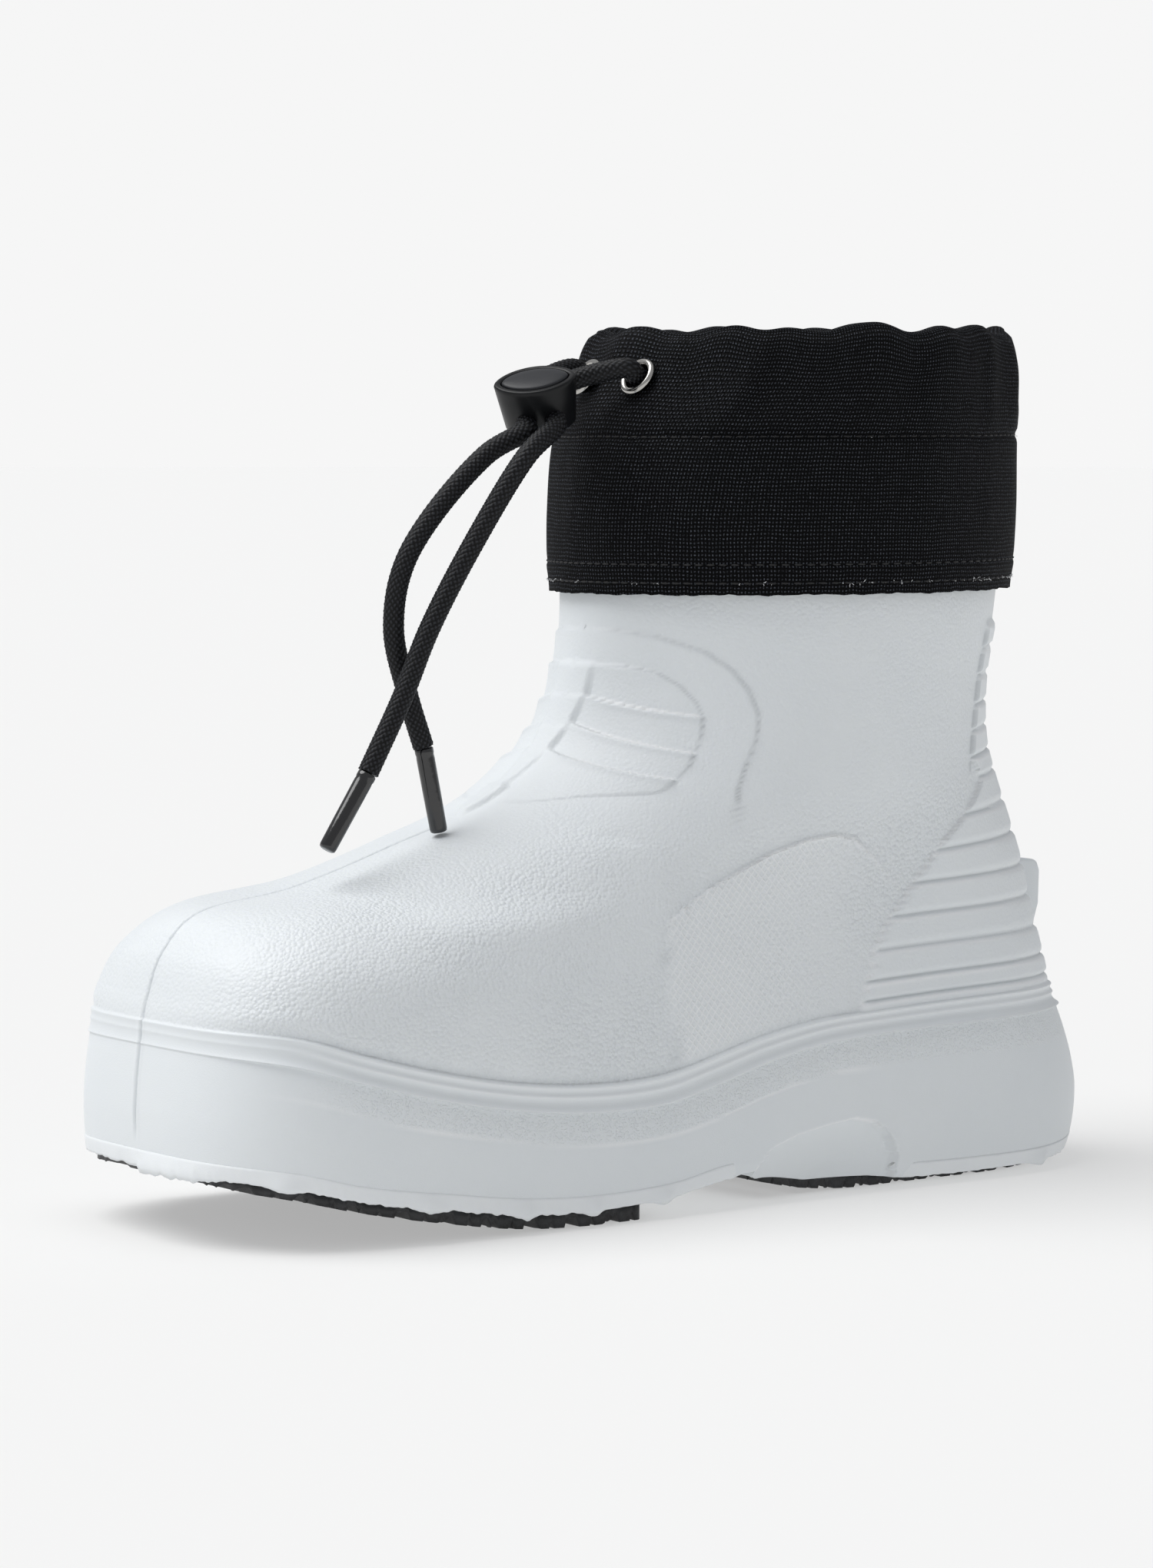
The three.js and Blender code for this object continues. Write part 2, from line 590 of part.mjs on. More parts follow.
function treadOf(from, to, margin) {
  const { sheet, rows } = treadSheet(from, to, margin);
  const length = rows[rows.length - 1][0].y - rows[0][0].y;
  const pitch = LUG_PITCH / length;
  const count = Math.floor(1 / pitch);
  const first = (1 - count * pitch) / 2;
  let made = sheet;
  for (let i = 0; i < count; i += 1) {
    for (const [u0, u1, slant] of [[0.36, 0.97, 0.15], [-0.97, -0.36, -0.15], [-0.28, 0.28, 0]]) {
      const start = first + (i + 0.24 + Math.max(0, -slant)) * pitch;
      const stop = start + 0.6 * pitch;
      if (stop + Math.abs(slant) * pitch < 1 - 0.1 * pitch) {
        made = made.add(lug(rows, start, stop, u0, u1, slant * pitch));
      }
    }
  }
  return made;
}
const forefootTread = treadOf(1.5, 9.13, TREAD_MARGIN);
const heelTread = treadOf(10.7, 17.6, HEEL_TREAD_MARGIN);

// ---- insole, lying in the boot ----
const insoleRing = (inset, lift) =>
  floorRing(FLOOR_MARGIN, lift).map((p) => {
    const middle = TOE_SWING / 2;
    return p.setX(p.x - Math.sign(p.x - middle) * Math.min(inset, Math.abs(p.x - middle)));
  });
const insole = ringSolid([
  insoleRing(CLEAR, CLEAR),
  insoleRing(CLEAR, CLEAR + 0.85 * INSOLE_THICK),
  insoleRing(1.2, CLEAR + INSOLE_THICK),
]);

// ---- cuff: a canvas tube round the shaft, its top folded into a channel ----
// height, and as shares of the lean: front inward, sides inward, back outward; then the front's squareness
const CUFF = [
  [0.0, 0.0, 0.0, 0.0, 2.0], [0.3, 0.0, -0.02, 0.07, 2.0], [0.6, 0.19, 0.02, 0.12, 2.2],
  [0.85, 0.72, 0.1, 0.17, 2.5], [1.0, 0.97, 0.15, 0.08, 2.5],
];
function cuffPoint(at, up, out) {
  const row = level(RIM);
  const rim = [...row];
  rim[8] = smooth(CUFF, 4, up);
  const lean = smooth(CUFF, 1, up) * CUFF_LEAN;
  const gather = smooth(CUFF, 2, up) * CUFF_LEAN;
  const back = smooth(CUFF, 3, up) * CUFF_LEAN;
  const grow = CLEAR + CUFF_WALL + out;
  const p = outline(rim, at, grow - lean, grow + back, grow - gather, 0);
  p.z = CUFF_FOOT + up * CUFF_HEIGHT;
  return p;
}
function cuffNormal(at, up) {
  const e = 0.01;
  const across = cuffPoint(at + e, up, 0).sub(cuffPoint(at - e, up, 0));
  const rise = cuffPoint(at, up + e, 0).sub(cuffPoint(at, up - e, 0));
  return across.cross(rise).normalize();
}
// share of the height, outward of the cloth's face
const CUFF_OUTSIDE = [
  [0, 0], [0.3, 0], [0.61, -0.2], [0.7, 0.5], [0.84, CHANNEL_FACE], [0.97, 0.3], [1, -0.5 * CUFF_WALL],
];
const CUFF_INSIDE = [
  [1, 3 - CHANNEL_THICK], [0.95, CHANNEL_FACE - CHANNEL_THICK], [0.7, CHANNEL_FACE - CHANNEL_THICK],
  [0.61, -CUFF_WALL], [0.27, -CUFF_WALL], [0, -CUFF_WALL],
];
const cuffRings = [...CUFF_OUTSIDE, ...CUFF_INSIDE].map(([up, out]) =>
  ROUND.map((at) => cuffPoint(at, up, out)),
);
let cuff = ringSolid(cuffRings, true);

// ---- eyelets ----
const eyeletUp = EYELET_LEVEL / CUFF_HEIGHT;
function eyeletPlace(side) {
  let low = 0;
  let high = 0.4;
  for (let i = 0; i < 30; i += 1) {
    const middle = (low + high) / 2;
    if (Math.abs(cuffPoint(side * middle, eyeletUp, CHANNEL_FACE).x) < EYELET_SPREAD) low = middle;
    else high = middle;
  }
  const at = side * low;
  return { at, centre: cuffPoint(at, eyeletUp, CHANNEL_FACE), normal: cuffNormal(at, eyeletUp) };
}
const ringSegments = 16;
const barrel = 1.6;
function eyeletSolid() {
  const r = EYELET_BORE / 2;
  const R = EYELET_OUTSIDE / 2;
  const profile = [
    [r, -barrel], [r, 1.1], [r + 0.5, 1.5], [R - 0.9, 1.3], [R, 0.6], [R - 0.2, 0], [r + 0.5, 0],
    [r + 0.5, -barrel], [r, -barrel],
  ].map(([x, y]) => new THREE.Vector2(x, y));
  const g = new THREE.LatheGeometry(profile, ringSegments);
  g.rotateX(Math.PI / 2); // the axis from Y to Z
  return solid(g);
}
function cylinderAlong(radius, length, segments) {
  const g = new THREE.CylinderGeometry(radius, radius, length, segments);
  g.rotateX(Math.PI / 2);
  return g;
}
function turnTo(direction) {
  return new THREE.Quaternion().setFromUnitVectors(new THREE.Vector3(0, 0, 1), direction);
}

// ---- cord lock: its own frame, long side X, cords along Y, button up Z ----
const lock = new THREE.Group();
lock.position.set(7.8, -25.3, 197.3);
{
  const lean = THREE.MathUtils.degToRad(28);
  const turn = THREE.MathUtils.degToRad(55);
  const roll = THREE.MathUtils.degToRad(8);
  lock.quaternion
    .setFromAxisAngle(new THREE.Vector3(0, 0, 1), turn)
    .multiply(new THREE.Quaternion().setFromAxisAngle(new THREE.Vector3(0, 1, 0), -roll))
    .multiply(new THREE.Quaternion().setFromAxisAngle(new THREE.Vector3(1, 0, 0), lean));
}
lock.updateMatrixWorld(true);
function lens(length, depth, segments) {
  const out = [];
  for (let i = 0; i < segments; i += 1) {
    const a = (2 * Math.PI * i) / segments;
    const y = Math.sign(Math.sin(a)) * Math.abs(Math.sin(a)) ** 1.25;
    out.push(new THREE.Vector2((length / 2) * Math.cos(a), (depth / 2) * y));
  }
  return out;
}
function lensSolid(rows, segments = 24) {
  return ringSolid(
    rows.map(([z, length, depth]) =>
      lens(length, depth, segments).map((p) => new THREE.Vector3(p.x, p.y, z)),
    ),
  );
}
const boreLevel = -2.6;
const half = LOCK_HEIGHT / 2;
let lockBody = lensSolid([
  [-half, LOCK_LENGTH - 5, LOCK_DEPTH - 3], [-half + 1, LOCK_LENGTH - 3.6, LOCK_DEPTH - 1.6],
  [half - 4, LOCK_LENGTH - 1.2, LOCK_DEPTH - 0.6], [half - 1, LOCK_LENGTH, LOCK_DEPTH],
  [half, LOCK_LENGTH - 0.6, LOCK_DEPTH - 0.6],
]);
const pocketFloor = half + 0.8 - BUTTON_THICK - BUTTON_TRAVEL - CLEAR;
lockBody = lockBody.subtract(
  lensSolid([
    [pocketFloor, LOCK_LENGTH - 2 * LOCK_RIM, LOCK_DEPTH - 2 * LOCK_RIM],
    [half + 2, LOCK_LENGTH - 2 * LOCK_RIM, LOCK_DEPTH - 2 * LOCK_RIM],
  ]),
);
for (const side of [1, -1]) {
  const bore = cylinderAlong(CORD / 2 + CLEAR + 0.1, LOCK_DEPTH + 4, 16);
  bore.rotateX(Math.PI / 2);
  bore.translate(side * BORE_SPREAD, 0, boreLevel);
  lockBody = lockBody.subtract(solid(bore));
}
const buttonTrim = 2 * LOCK_RIM + 2 * CLEAR;
const lockButton = lensSolid([
  [half + 0.8 - BUTTON_THICK, LOCK_LENGTH - buttonTrim, LOCK_DEPTH - buttonTrim],
  [half + 0.2, LOCK_LENGTH - buttonTrim, LOCK_DEPTH - buttonTrim],
  [half + 0.6, LOCK_LENGTH - buttonTrim - 1, LOCK_DEPTH - buttonTrim - 1],
  [half + 0.8, LOCK_LENGTH - buttonTrim - 3.5, LOCK_DEPTH - buttonTrim - 3],
]);

// ---- cords: from inside the channel, out through an eyelet, through the lock and down ----
// Points below the lock, [x, y, z]: the outer cord hangs straight, the inner one bows forward.
const OUTER_FALL = [
  [19.3, -36.5, 184.5], [16.5, -50.5, 163], [15, -62, 143], [14, -69, 127], [13, -78.4, 108.8],
];
const INNER_FALL = [
  [9.6, -42, 184.5], [7.5, -63.5, 160], [6.8, -67, 143], [7, -63.2, 127], [7.3, -58.8, 114],
];
const OUTER_TIP = [12.2, -89.6, 91];
const INNER_TIP = [8, -55, 94.2];

function cordPoints(side, fall) {
  const { at, centre, normal } = eyeletPlace(side);
  const bendR = 4.3;
  const deep = CHANNEL_THICK / 2;
  const face = (place) => cuffPoint(place, eyeletUp, CHANNEL_FACE);
  const across = face(at + side * 0.01).sub(face(at)).normalize();
  const points = [];
  for (const step of [0.14, 0.105, 0.07]) {
    const place = at + side * step;
    points.push(face(place).addScaledVector(cuffNormal(place, eyeletUp), -deep));
  }
  for (const angle of [20, 50, 80]) {
    const a = THREE.MathUtils.degToRad(angle);
    points.push(
      centre.clone()
        .addScaledVector(across, bendR * (1 - Math.sin(a)))
        .addScaledVector(normal, -deep + bendR * (1 - Math.cos(a))),
    );
  }
  points.push(centre.clone().addScaledVector(normal, 2), centre.clone().addScaledVector(normal, 5));
  for (const y of [LOCK_DEPTH / 2 + 4, LOCK_DEPTH / 2, 0, -LOCK_DEPTH / 2 + 0.4, -LOCK_DEPTH / 2 - 1.6]) {
    points.push(lock.localToWorld(new THREE.Vector3(side * BORE_SPREAD, y, boreLevel)));
  }
  fall.forEach((p) => points.push(new THREE.Vector3(...p)));
  return points;
}
function cordSolid(points, diameter, steps, sides) {
  const curve = new THREE.CatmullRomCurve3(points, false, "centripetal");
  const round = new THREE.Shape(
    Array.from({ length: sides }, (_, i) => {
      const a = (2 * Math.PI * i) / sides;
      return new THREE.Vector2((diameter / 2) * Math.cos(a), (diameter / 2) * Math.sin(a));
    }),
  );
  return solid(new THREE.ExtrudeGeometry(round, { steps, bevelEnabled: false, extrudePath: curve }));
}
function agletSolid(start, tip) {
  const a = new THREE.Vector3(...start);
  const direction = new THREE.Vector3(...tip).sub(a).normalize();
  const from = a.clone().addScaledVector(direction, CLEAR);
  const r = AGLET_WIDTH / 2;
  const g = new THREE.LatheGeometry(
    [[0, 0], [r - 0.2, 0], [r, 0.3], [r, AGLET_LENGTH - 0.8], [r - 0.5, AGLET_LENGTH], [0, AGLET_LENGTH]]
      .map(([x, y]) => new THREE.Vector2(x, y)),
    12,
  );
  g.rotateX(Math.PI / 2);
  g.applyQuaternion(turnTo(direction));
  g.translate(from.x, from.y, from.z);
  return solid(g);
}
const cords = {};
for (const [name, side, fall] of [["lateral", 1, OUTER_FALL], ["medial", -1, INNER_FALL]]) {
  const points = cordPoints(side, fall);
  cords[name] = cordSolid(points, CORD, 42, 8);
  const inside = points.slice(0, 9);
  const back = points[0].clone().addScaledVector(points[0].clone().sub(points[1]).normalize(), 1);
  cuff = cuff.subtract(cordSolid([back, ...inside], CORD + 2 * CLEAR + 0.4, 20, 8));
  const { centre, normal } = eyeletPlace(side);
  const hole = cylinderAlong(EYELET_BORE / 2 + 0.5 + CLEAR, 2 * (barrel + CLEAR), ringSegments);
  hole.applyQuaternion(turnTo(normal));
  hole.translate(centre.x, centre.y, centre.z);
  cuff = cuff.subtract(solid(hole));
}

// ---- materials ----
const finish = (color, roughness, metalness = 0) =>
  new THREE.MeshStandardMaterial({ color, roughness, metalness });
const foam = finish(0xe4e8ea, 0.55);
const rubber = finish(0x141516, 0.75);
const felt = finish(0x4a4b4d, 0.95);
const canvas = finish(0x0f0f11, 0.92);
const nickel = finish(0xc4c6c8, 0.25, 1);
const braid = finish(0x101013, 0.85);
const plastic = finish(0x121315, 0.35);

// ---- the boot ----
const boot = new THREE.Group();
const body = new THREE.Group();
const ends = new THREE.Group();
body.add(
  meshOf(shell, "shell", foam),
  meshOf(forefootTread, "forefoot_tread", rubber),
  meshOf(heelTread, "heel_tread", rubber),
  meshOf(insole, "insole", felt),
  meshOf(cuff, "cuff", canvas),
);
for (const [name, side] of [["lateral", 1], ["medial", -1]]) {
  const { centre, normal } = eyeletPlace(side);
  const eyelet = meshOf(eyeletSolid(), "eyelet_" + name, nickel);
  eyelet.position.copy(centre).addScaledVector(normal, EYELET_SEAT);
  eyelet.quaternion.copy(turnTo(normal));
  body.add(eyelet);
}
lock.add(meshOf(lockBody, "cord_lock_body", plastic), meshOf(lockButton, "cord_lock_button", plastic));
body.add(lock);
ends.add(meshOf(cords.lateral, "cord_lateral", braid), meshOf(cords.medial, "cord_medial", braid));
for (const [name, fall, tip] of [
  ["lateral", OUTER_FALL, OUTER_TIP], ["medial", INNER_FALL, INNER_TIP],
]) {
  ends.add(meshOf(agletSolid(fall[fall.length - 1], tip), "aglet_" + name, plastic));
}
boot.add(body, ends);
// The origin is under the middle of the boot, without its hanging cords.
boot.updateMatrixWorld(true);
const box = new THREE.Box3().setFromObject(body, true);
boot.position.set(-(box.min.x + box.max.x) / 2, -(box.min.y + box.max.y) / 2, -box.min.z);

export default boot;
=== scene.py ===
"""The looks of a winter ankle boot for the left foot.

A moulded foam shell, two rubber treads, a footbed, and a gathered canvas cuff with a drawcord, two
eyelets and a push-button lock. Lengths are in millimetres, with +Z up, the toe towards -Y and the
outer side towards +X, and turn to metres in the last step of each shape.
"""

import math

import bmesh
import bpy
import numpy as np
from mathutils import Matrix, Vector


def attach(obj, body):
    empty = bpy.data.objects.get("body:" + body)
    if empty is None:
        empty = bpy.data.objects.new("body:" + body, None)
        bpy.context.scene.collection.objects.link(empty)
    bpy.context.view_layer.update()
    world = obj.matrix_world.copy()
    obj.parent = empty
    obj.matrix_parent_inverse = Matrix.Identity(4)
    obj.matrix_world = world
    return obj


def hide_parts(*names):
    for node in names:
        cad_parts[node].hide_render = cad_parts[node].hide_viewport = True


bl_info = {
    "name": "Winter Boot",
    "version": (1, 0, 0),
    "blender": (4, 5, 0),
    "location": "View3D > Sidebar > Boot",
    "description": "Builds the pieces and the stage of a moulded winter ankle boot",
    "category": "Add Mesh",
}

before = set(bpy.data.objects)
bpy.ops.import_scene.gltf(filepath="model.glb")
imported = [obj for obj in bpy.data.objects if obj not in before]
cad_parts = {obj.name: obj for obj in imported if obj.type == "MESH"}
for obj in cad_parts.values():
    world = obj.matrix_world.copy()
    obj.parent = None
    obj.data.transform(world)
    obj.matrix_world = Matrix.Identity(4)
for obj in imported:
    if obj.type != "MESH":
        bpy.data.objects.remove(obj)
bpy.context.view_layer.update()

MM = 0.001
# The camera that was fitted to the photograph, whose frame is 2040 pixels high.
FRAME_HEIGHT = 2040
FOCAL_PIXELS = 6764
CAMERA_PLACE = (1.0588, -0.7528, 0.198)
CAMERA_AZIMUTH = math.radians(55)
CAMERA_PITCH = math.radians(4.23)  # downwards
KEY_TRAVEL = (0.28, 0.46, -1)  # the way the key light goes
ORIGIN = np.array([-0.52965, -2.70100, 0.0])  # from the foot's own frame to the boot's

# ---- the foot and shaft, taken where the upper meets the rand ----
FOOT_LENGTH = 266
BALL_WIDTH = 97
WAIST_WIDTH = 85
HEEL_WIDTH = 78
INSTEP_HEIGHT = 110
SHAFT_LENGTH = 122
SHAFT_WIDTH = 94
SHAFT_RISE = 56
SHAFT_MIDDLE = 55
TOE_SWING = 2.5
WALL = 4
CLEAR = 0.3
RAND_INSET = 0.9

# ---- the sole ----
SOLE_HEIGHT = 52
RAND_HEIGHT = 7
RAND_STEP = 1.1
HEEL_FLARE = 7.4
FLOOR_HEIGHT = 31
FLOOR_MARGIN = 9
FLOOR_ROUND = 6
INSOLE_THICK = 4
TREAD_MARGIN = 3
HEEL_TREAD_MARGIN = 9.5
LUG_DEPTH = 1.6
LUG_PITCH = 12
NOTCH_LENGTH = 48
NOTCH_HEIGHT = 16
NOTCH_DEPTH = 9
SCOOP_DROP = 2.8
NOTCH_PLACE = 0.616  # along the foot
STATIONS = 20

# ---- the raised forms of the upper ----
PAD_STEP = 1.35
BAND_STEP = 2
PLATEAU_STEP = 0.7
HEEL_RIB = 1.15
PANEL_STEP = 0.7
SEAM_WIDTH = 0.42  # of the parting groove at the toe
SEAM_DEPTH = 0.6
TAB_WIDTH = 18
TAB_HEIGHT = 22.5
TAB_REACH = 8

# ---- the cuff, its eyelets, lock and cord ----
CUFF_FOOT = 150
CUFF_HEIGHT = 65
CUFF_WALL = 2.4
CUFF_LEAN = 19.5
CHANNEL_THICK = 9.2
CHANNEL_FACE = 0.8
SEAM_LEVEL = 0.6  # the channel's seam, as a share of the cuff's height
CORD = 5
EYELET_OUTSIDE = 11
EYELET_BORE = 6.4
EYELET_SPREAD = 11
EYELET_SEAT = 1
EYELET_LEVEL = 53
LOCK_LENGTH = 20.4
LOCK_DEPTH = 14
LOCK_HEIGHT = 13
LOCK_RIM = 1.7
BORE_SPREAD = 3.6
BORE_LEVEL = -2.6
BUTTON_TRAVEL = 3
BUTTON_THICK = 3
AGLET_LENGTH = 21
AGLET_WIDTH = 4.6

# One level of the upper per row, from the rand to the instep, as shares of the foot's sizes.
# front, its height, back, its height, ball, waist, heel, toe reach and square, heel reach and square, wave
FOOT_LEVELS = [
    [-0.5, 0.469, 0.5, 0.418, 1.0, 1.0, 1.0, 0.195, 3.2, 0.165, 2.1, 1.0],
    [-0.495, 0.518, 0.4925, 0.486, 1.01, 0.976, 0.974, 0.195, 3.2, 0.165, 2.1, 0.9],
    [-0.4794, 0.614, 0.4774, 0.609, 0.985, 0.953, 0.949, 0.218, 2.8, 0.165, 2.1, 0.7],
    [-0.4417, 0.689, 0.4662, 0.718, 0.897, 0.941, 0.949, 0.248, 2.3, 0.173, 2.1, 0.5],
    [-0.344, 0.73, 0.4511, 0.832, 0.825, 0.941, 0.974, 0.301, 2.1, 0.18, 2.0, 0.3],
    [-0.235, 0.812, 0.4361, 0.923, 0.835, 0.965, 1.013, 0.301, 2.0, 0.195, 2.0, 0.15],
]
# The same for the shaft, as shares of the shaft's length, rise and width.
SHAFT_LEVELS = [
    [-0.7623, -0.205, 0.4779, 0.0, 0.872, 0.894, 0.872, 0.574, 2.0, 0.459, 2.0, 0.06],
    [-0.6107, 0.009, 0.4689, 0.161, 0.889, 0.915, 0.904, 0.508, 2.0, 0.475, 2.0, 0.0],
    [-0.5328, 0.268, 0.473, 0.357, 0.915, 0.947, 0.936, 0.508, 2.0, 0.492, 2.0, 0.0],
    [-0.5041, 0.589, 0.495, 0.625, 0.947, 0.979, 0.968, 0.508, 2.0, 0.5, 2.0, 0.0],
    [-0.5035, 1.0, 0.512, 1.0, 0.968, 1.0, 0.989, 0.508, 2.0, 0.508, 2.0, 0.0],
]
RIM = len(FOOT_LEVELS) + len(SHAFT_LEVELS) - 1
LEVELS = [
    [i, r[0] * FOOT_LENGTH, r[1] * INSTEP_HEIGHT, r[2] * FOOT_LENGTH, r[3] * INSTEP_HEIGHT,
     r[4] * BALL_WIDTH / 2, r[5] * WAIST_WIDTH / 2, r[6] * HEEL_WIDTH / 2,
     r[7] * FOOT_LENGTH, r[8], r[9] * FOOT_LENGTH, r[10], r[11]]
    for i, r in enumerate(FOOT_LEVELS)
] + [
    [i + len(FOOT_LEVELS), SHAFT_MIDDLE + r[0] * SHAFT_LENGTH, INSTEP_HEIGHT + r[1] * SHAFT_RISE,
     SHAFT_MIDDLE + r[2] * SHAFT_LENGTH, INSTEP_HEIGHT + r[3] * SHAFT_RISE,
     r[4] * SHAFT_WIDTH / 2, r[5] * SHAFT_WIDTH / 2, r[6] * SHAFT_WIDTH / 2,
     r[7] * SHAFT_LENGTH, r[8], r[9] * SHAFT_LENGTH, r[10], r[11]]
    for i, r in enumerate(SHAFT_LEVELS)
]
# The sole: along, rand's top, its height, foam's edge, tread's underside, heel's flare, floor.
SOLE = [
    [0.0, 0.992, 0.8, 0.337, 0.292, 0.27, 0.97],
    [0.06, 0.962, 0.91, 0.298, 0.235, 0.27, 0.92],
    [0.12, 0.87, 0.9, 0.223, 0.162, 0.21, 0.855],
    [0.2, 0.765, 0.9, 0.16, 0.085, 0.24, 0.775],
    [0.28, 0.69, 0.9, 0.104, 0.023, 0.24, 0.725],
    [0.36, 0.654, 0.93, 0.083, 0.0, 0.24, 0.71],
    [0.44, 0.665, 0.96, 0.1, 0.0, 0.24, 0.725],
    [0.5, 0.731, 0.97, 0.152, 0.11, 0.26, 0.775],
    [0.56, 0.8, 0.89, 0.173, 0.1, 0.31, 0.84],
    [0.63, 0.852, 0.83, 0.119, 0.03, 0.38, 0.9],
    [0.7, 0.871, 0.81, 0.065, 0.0, 0.48, 0.95],
    [0.85, 0.896, 0.86, 0.054, 0.0, 0.72, 0.985],
    [0.95, 0.896, 0.81, 0.069, 0.01, 0.92, 1.0],
    [1.0, 0.885, 0.77, 0.115, 0.06, 1.0, 1.0],
]
SWING = [[-0.53, -0.6], [-0.4, -0.2], [-0.21, 0.48], [0.02, 1], [0.24, 0.6], [0.55, 0]]
# The sole wall from its bottom edge to the rand, and the share of the flare there.
BULGE = [[0, 0.6], [0.12, 0.86], [0.4, 1.0], [0.62, 0.86], [0.82, 0.6], [1, 0.29]]
# The rand from its lower line to its top: three ridges with two hollows between, as shares of its step.
RAND = [
    [0, 0.9], [0.05, 0.92], [0.11, 0.6], [0.3, 0.26], [0.5, 0.5], [0.57, 0.9], [0.63, 0.9],
    [0.7, 0.62], [0.8, 0.55], [0.9, 0.78], [0.96, 0.95], [1.0, 0.7],
]
# The edge of each raised form: level, then how far round it lies.
BAND_EDGE = [
    [0, 0.012], [5.8, 0.012], [5.91, 0.02], [6.28, 0.026], [6.36, 0.0135], [6.81, 0.025],
    [7.1, 0.03], [7.31, 0.036], [7.93, 0.048], [8.4, 0.05], [10, 0.05],
]
PAD_EDGE = [
    [6.0, 0.24], [6.08, 0.262], [6.2, 0.283], [6.38, 0.287], [6.66, 0.287], [6.89, 0.281], [7.26, 0.273],
    [7.6, 0.263], [7.85, 0.246], [8.13, 0.213], [8.33, 0.173], [8.41, 0.125], [8.46, 0.0],
]
ARC_EDGE = [
    [5.0, 0.44], [5.23, 0.431], [6.09, 0.383], [6.64, 0.363], [7.16, 0.353], [7.6, 0.341],
    [8.0, 0.318], [8.36, 0.283], [8.63, 0.238], [8.83, 0.158], [8.91, 0.07], [8.93, 0.0],
]
VAMP_EDGE = [[2.4, 0.468], [3.2, 0.46], [3.9, 0.44], [4.5, 0.4], [4.9, 0.35], [5.2, 0.28]]
HEEL_EDGE = [
    [0, 0.62], [0.23, 0.622], [0.98, 0.629], [1.72, 0.644], [2.3, 0.662], [3.01, 0.684],
    [3.79, 0.707], [5.09, 0.776], [5.4, 0.765], [5.8, 0.752], [8.8, 0.75], [10, 0.75],
]
PANEL_FRONT = [[0, 0.475], [1.7, 0.47], [3.16, 0.459], [4.6, 0.455]]
# The panel's top, by how far round: its level.
PANEL_TOP = [
    [0.44, 2.2], [0.455, 3.1], [0.474, 3.86], [0.506, 4.32], [0.54, 4.46], [0.57, 4.44], [0.6, 4.2],
    [0.63, 3.7], [0.649, 3.29], [0.7, 2.2],
]
GROOVES = [0.42, 1.03, 1.6, 2.2, 2.9, 3.59, 4.32, 5.2, 5.85, 6.6, 7.25, 7.9, 8.4, 8.8]
# The pad's ribs: the level of each line at the pad's edge, and how much it climbs towards the middle.
PAD_LINES = [[6.05, 0.0], [6.4, 0.7], [6.91, 0.72], [7.6, 0.47]]
# The middle band's stair: level, and the share of its step.
BAND = [
    [5.76, 0.0], [5.8, 0.25], [6.28, 1.0], [6.34, 0.6], [6.84, 1.15], [6.9, 0.75], [7.36, 1.2],
    [7.42, 0.8], [7.9, 1.2], [7.96, 0.8], [8.4, 0.9], [8.47, 0.0],
]
# The arch scoop's outline: along and height, as shares of its sizes.
NOTCH = [
    [-0.5, -0.6], [-0.485, -0.1], [-0.46, 0.2], [-0.34, 0.68], [-0.18, 0.84], [0.04, 0.95], [0.2, 1.0],
    [0.32, 0.92], [0.42, 0.7], [0.48, 0.35], [0.5, -0.1], [0.505, -0.6],
]
# The moulding flash's section: height above the foam's edge, how far it stands out, how ragged it is.
FLASH = [[3.6, -0.5, 0], [3.5, 0.12, 0], [2.9, 0.2, 0], [1.4, 0.24, 0.1], [0.3, 0.3, 0.4],
         [-0.1, 0.25, 1.0], [0.0, -0.4, 1.0], [0.8, -0.9, 0]]
# Lumps in the flash: place along the foot, width, and side.
FLASH_LUMPS = [[-133, 2.6, 1], [-119, 3.2, 1], [-85, 3.4, 1], [-59.6, 3.4, 1], [-39.5, 2.6, 1],
               [-18.5, 2.8, 1], [104, 3.2, 1], [-100, 2.2, -1], [-52, 2, -1], [88, 2.4, -1]]
# The cuff's outline: up, front inward, sides inward, back outward, squareness.
CUFF = [
    [0.0, 0.0, 0.0, 0.0, 2.0], [0.3, 0.0, -0.02, 0.07, 2.0], [0.6, 0.19, 0.02, 0.12, 2.2],
    [0.85, 0.72, 0.1, 0.17, 2.5], [1.0, 0.97, 0.15, 0.08, 2.5],
]
# How far the cloth's outside stands proud of that outline, by its height.
CUFF_OUTSIDE = [[0, 0], [0.3, 0], [0.61, -0.2], [0.7, 0.5], [0.84, CHANNEL_FACE], [0.97, 0.3], [1, -1.2]]

# ---- cords: points in the boot's frame, from inside the channel to the aglets ----
OUTER_FALL = [[19.3, -36.5, 184.5], [16.5, -50.5, 163], [15, -62, 143], [14, -69, 127], [13, -78.4, 108.8]]
INNER_FALL = [[9.6, -42, 184.5], [7.5, -63.5, 160], [6.8, -67, 143], [7, -63.2, 127], [7.3, -58.8, 114]]
OUTER_TIP = [12.2, -89.6, 91]
INNER_TIP = [8, -55, 94.2]
LOCK_PLACE = [7.8, -25.3, 197.3]
LOCK_TURNS = ((55, "Z"), (-8, "Y"), (28, "X"))
CORD_GAP = 0.3  # between two points of the cord's path

# ---- how fine each mesh is, and the studio's sizes in metres ----
SHELL_COLUMNS, SHELL_ROWS, FLASH_COLUMNS = 221, 145, 1001
TREAD_COLUMNS, TREAD_ROWS, INSOLE_COLUMNS = 101, 150, 161
CUFF_COLUMNS, CUFF_ROWS, CORD_COLUMNS = 301, 73, 81
FUZZ_COUNT, HEM_FUZZ, SEAM_FUZZ = 110, 40, 104  # in all, on the outer hem, and where the seam's begin
FLOOR_HALF = 15
WALL_RADIUS, WALL_HEIGHT = 14, 16


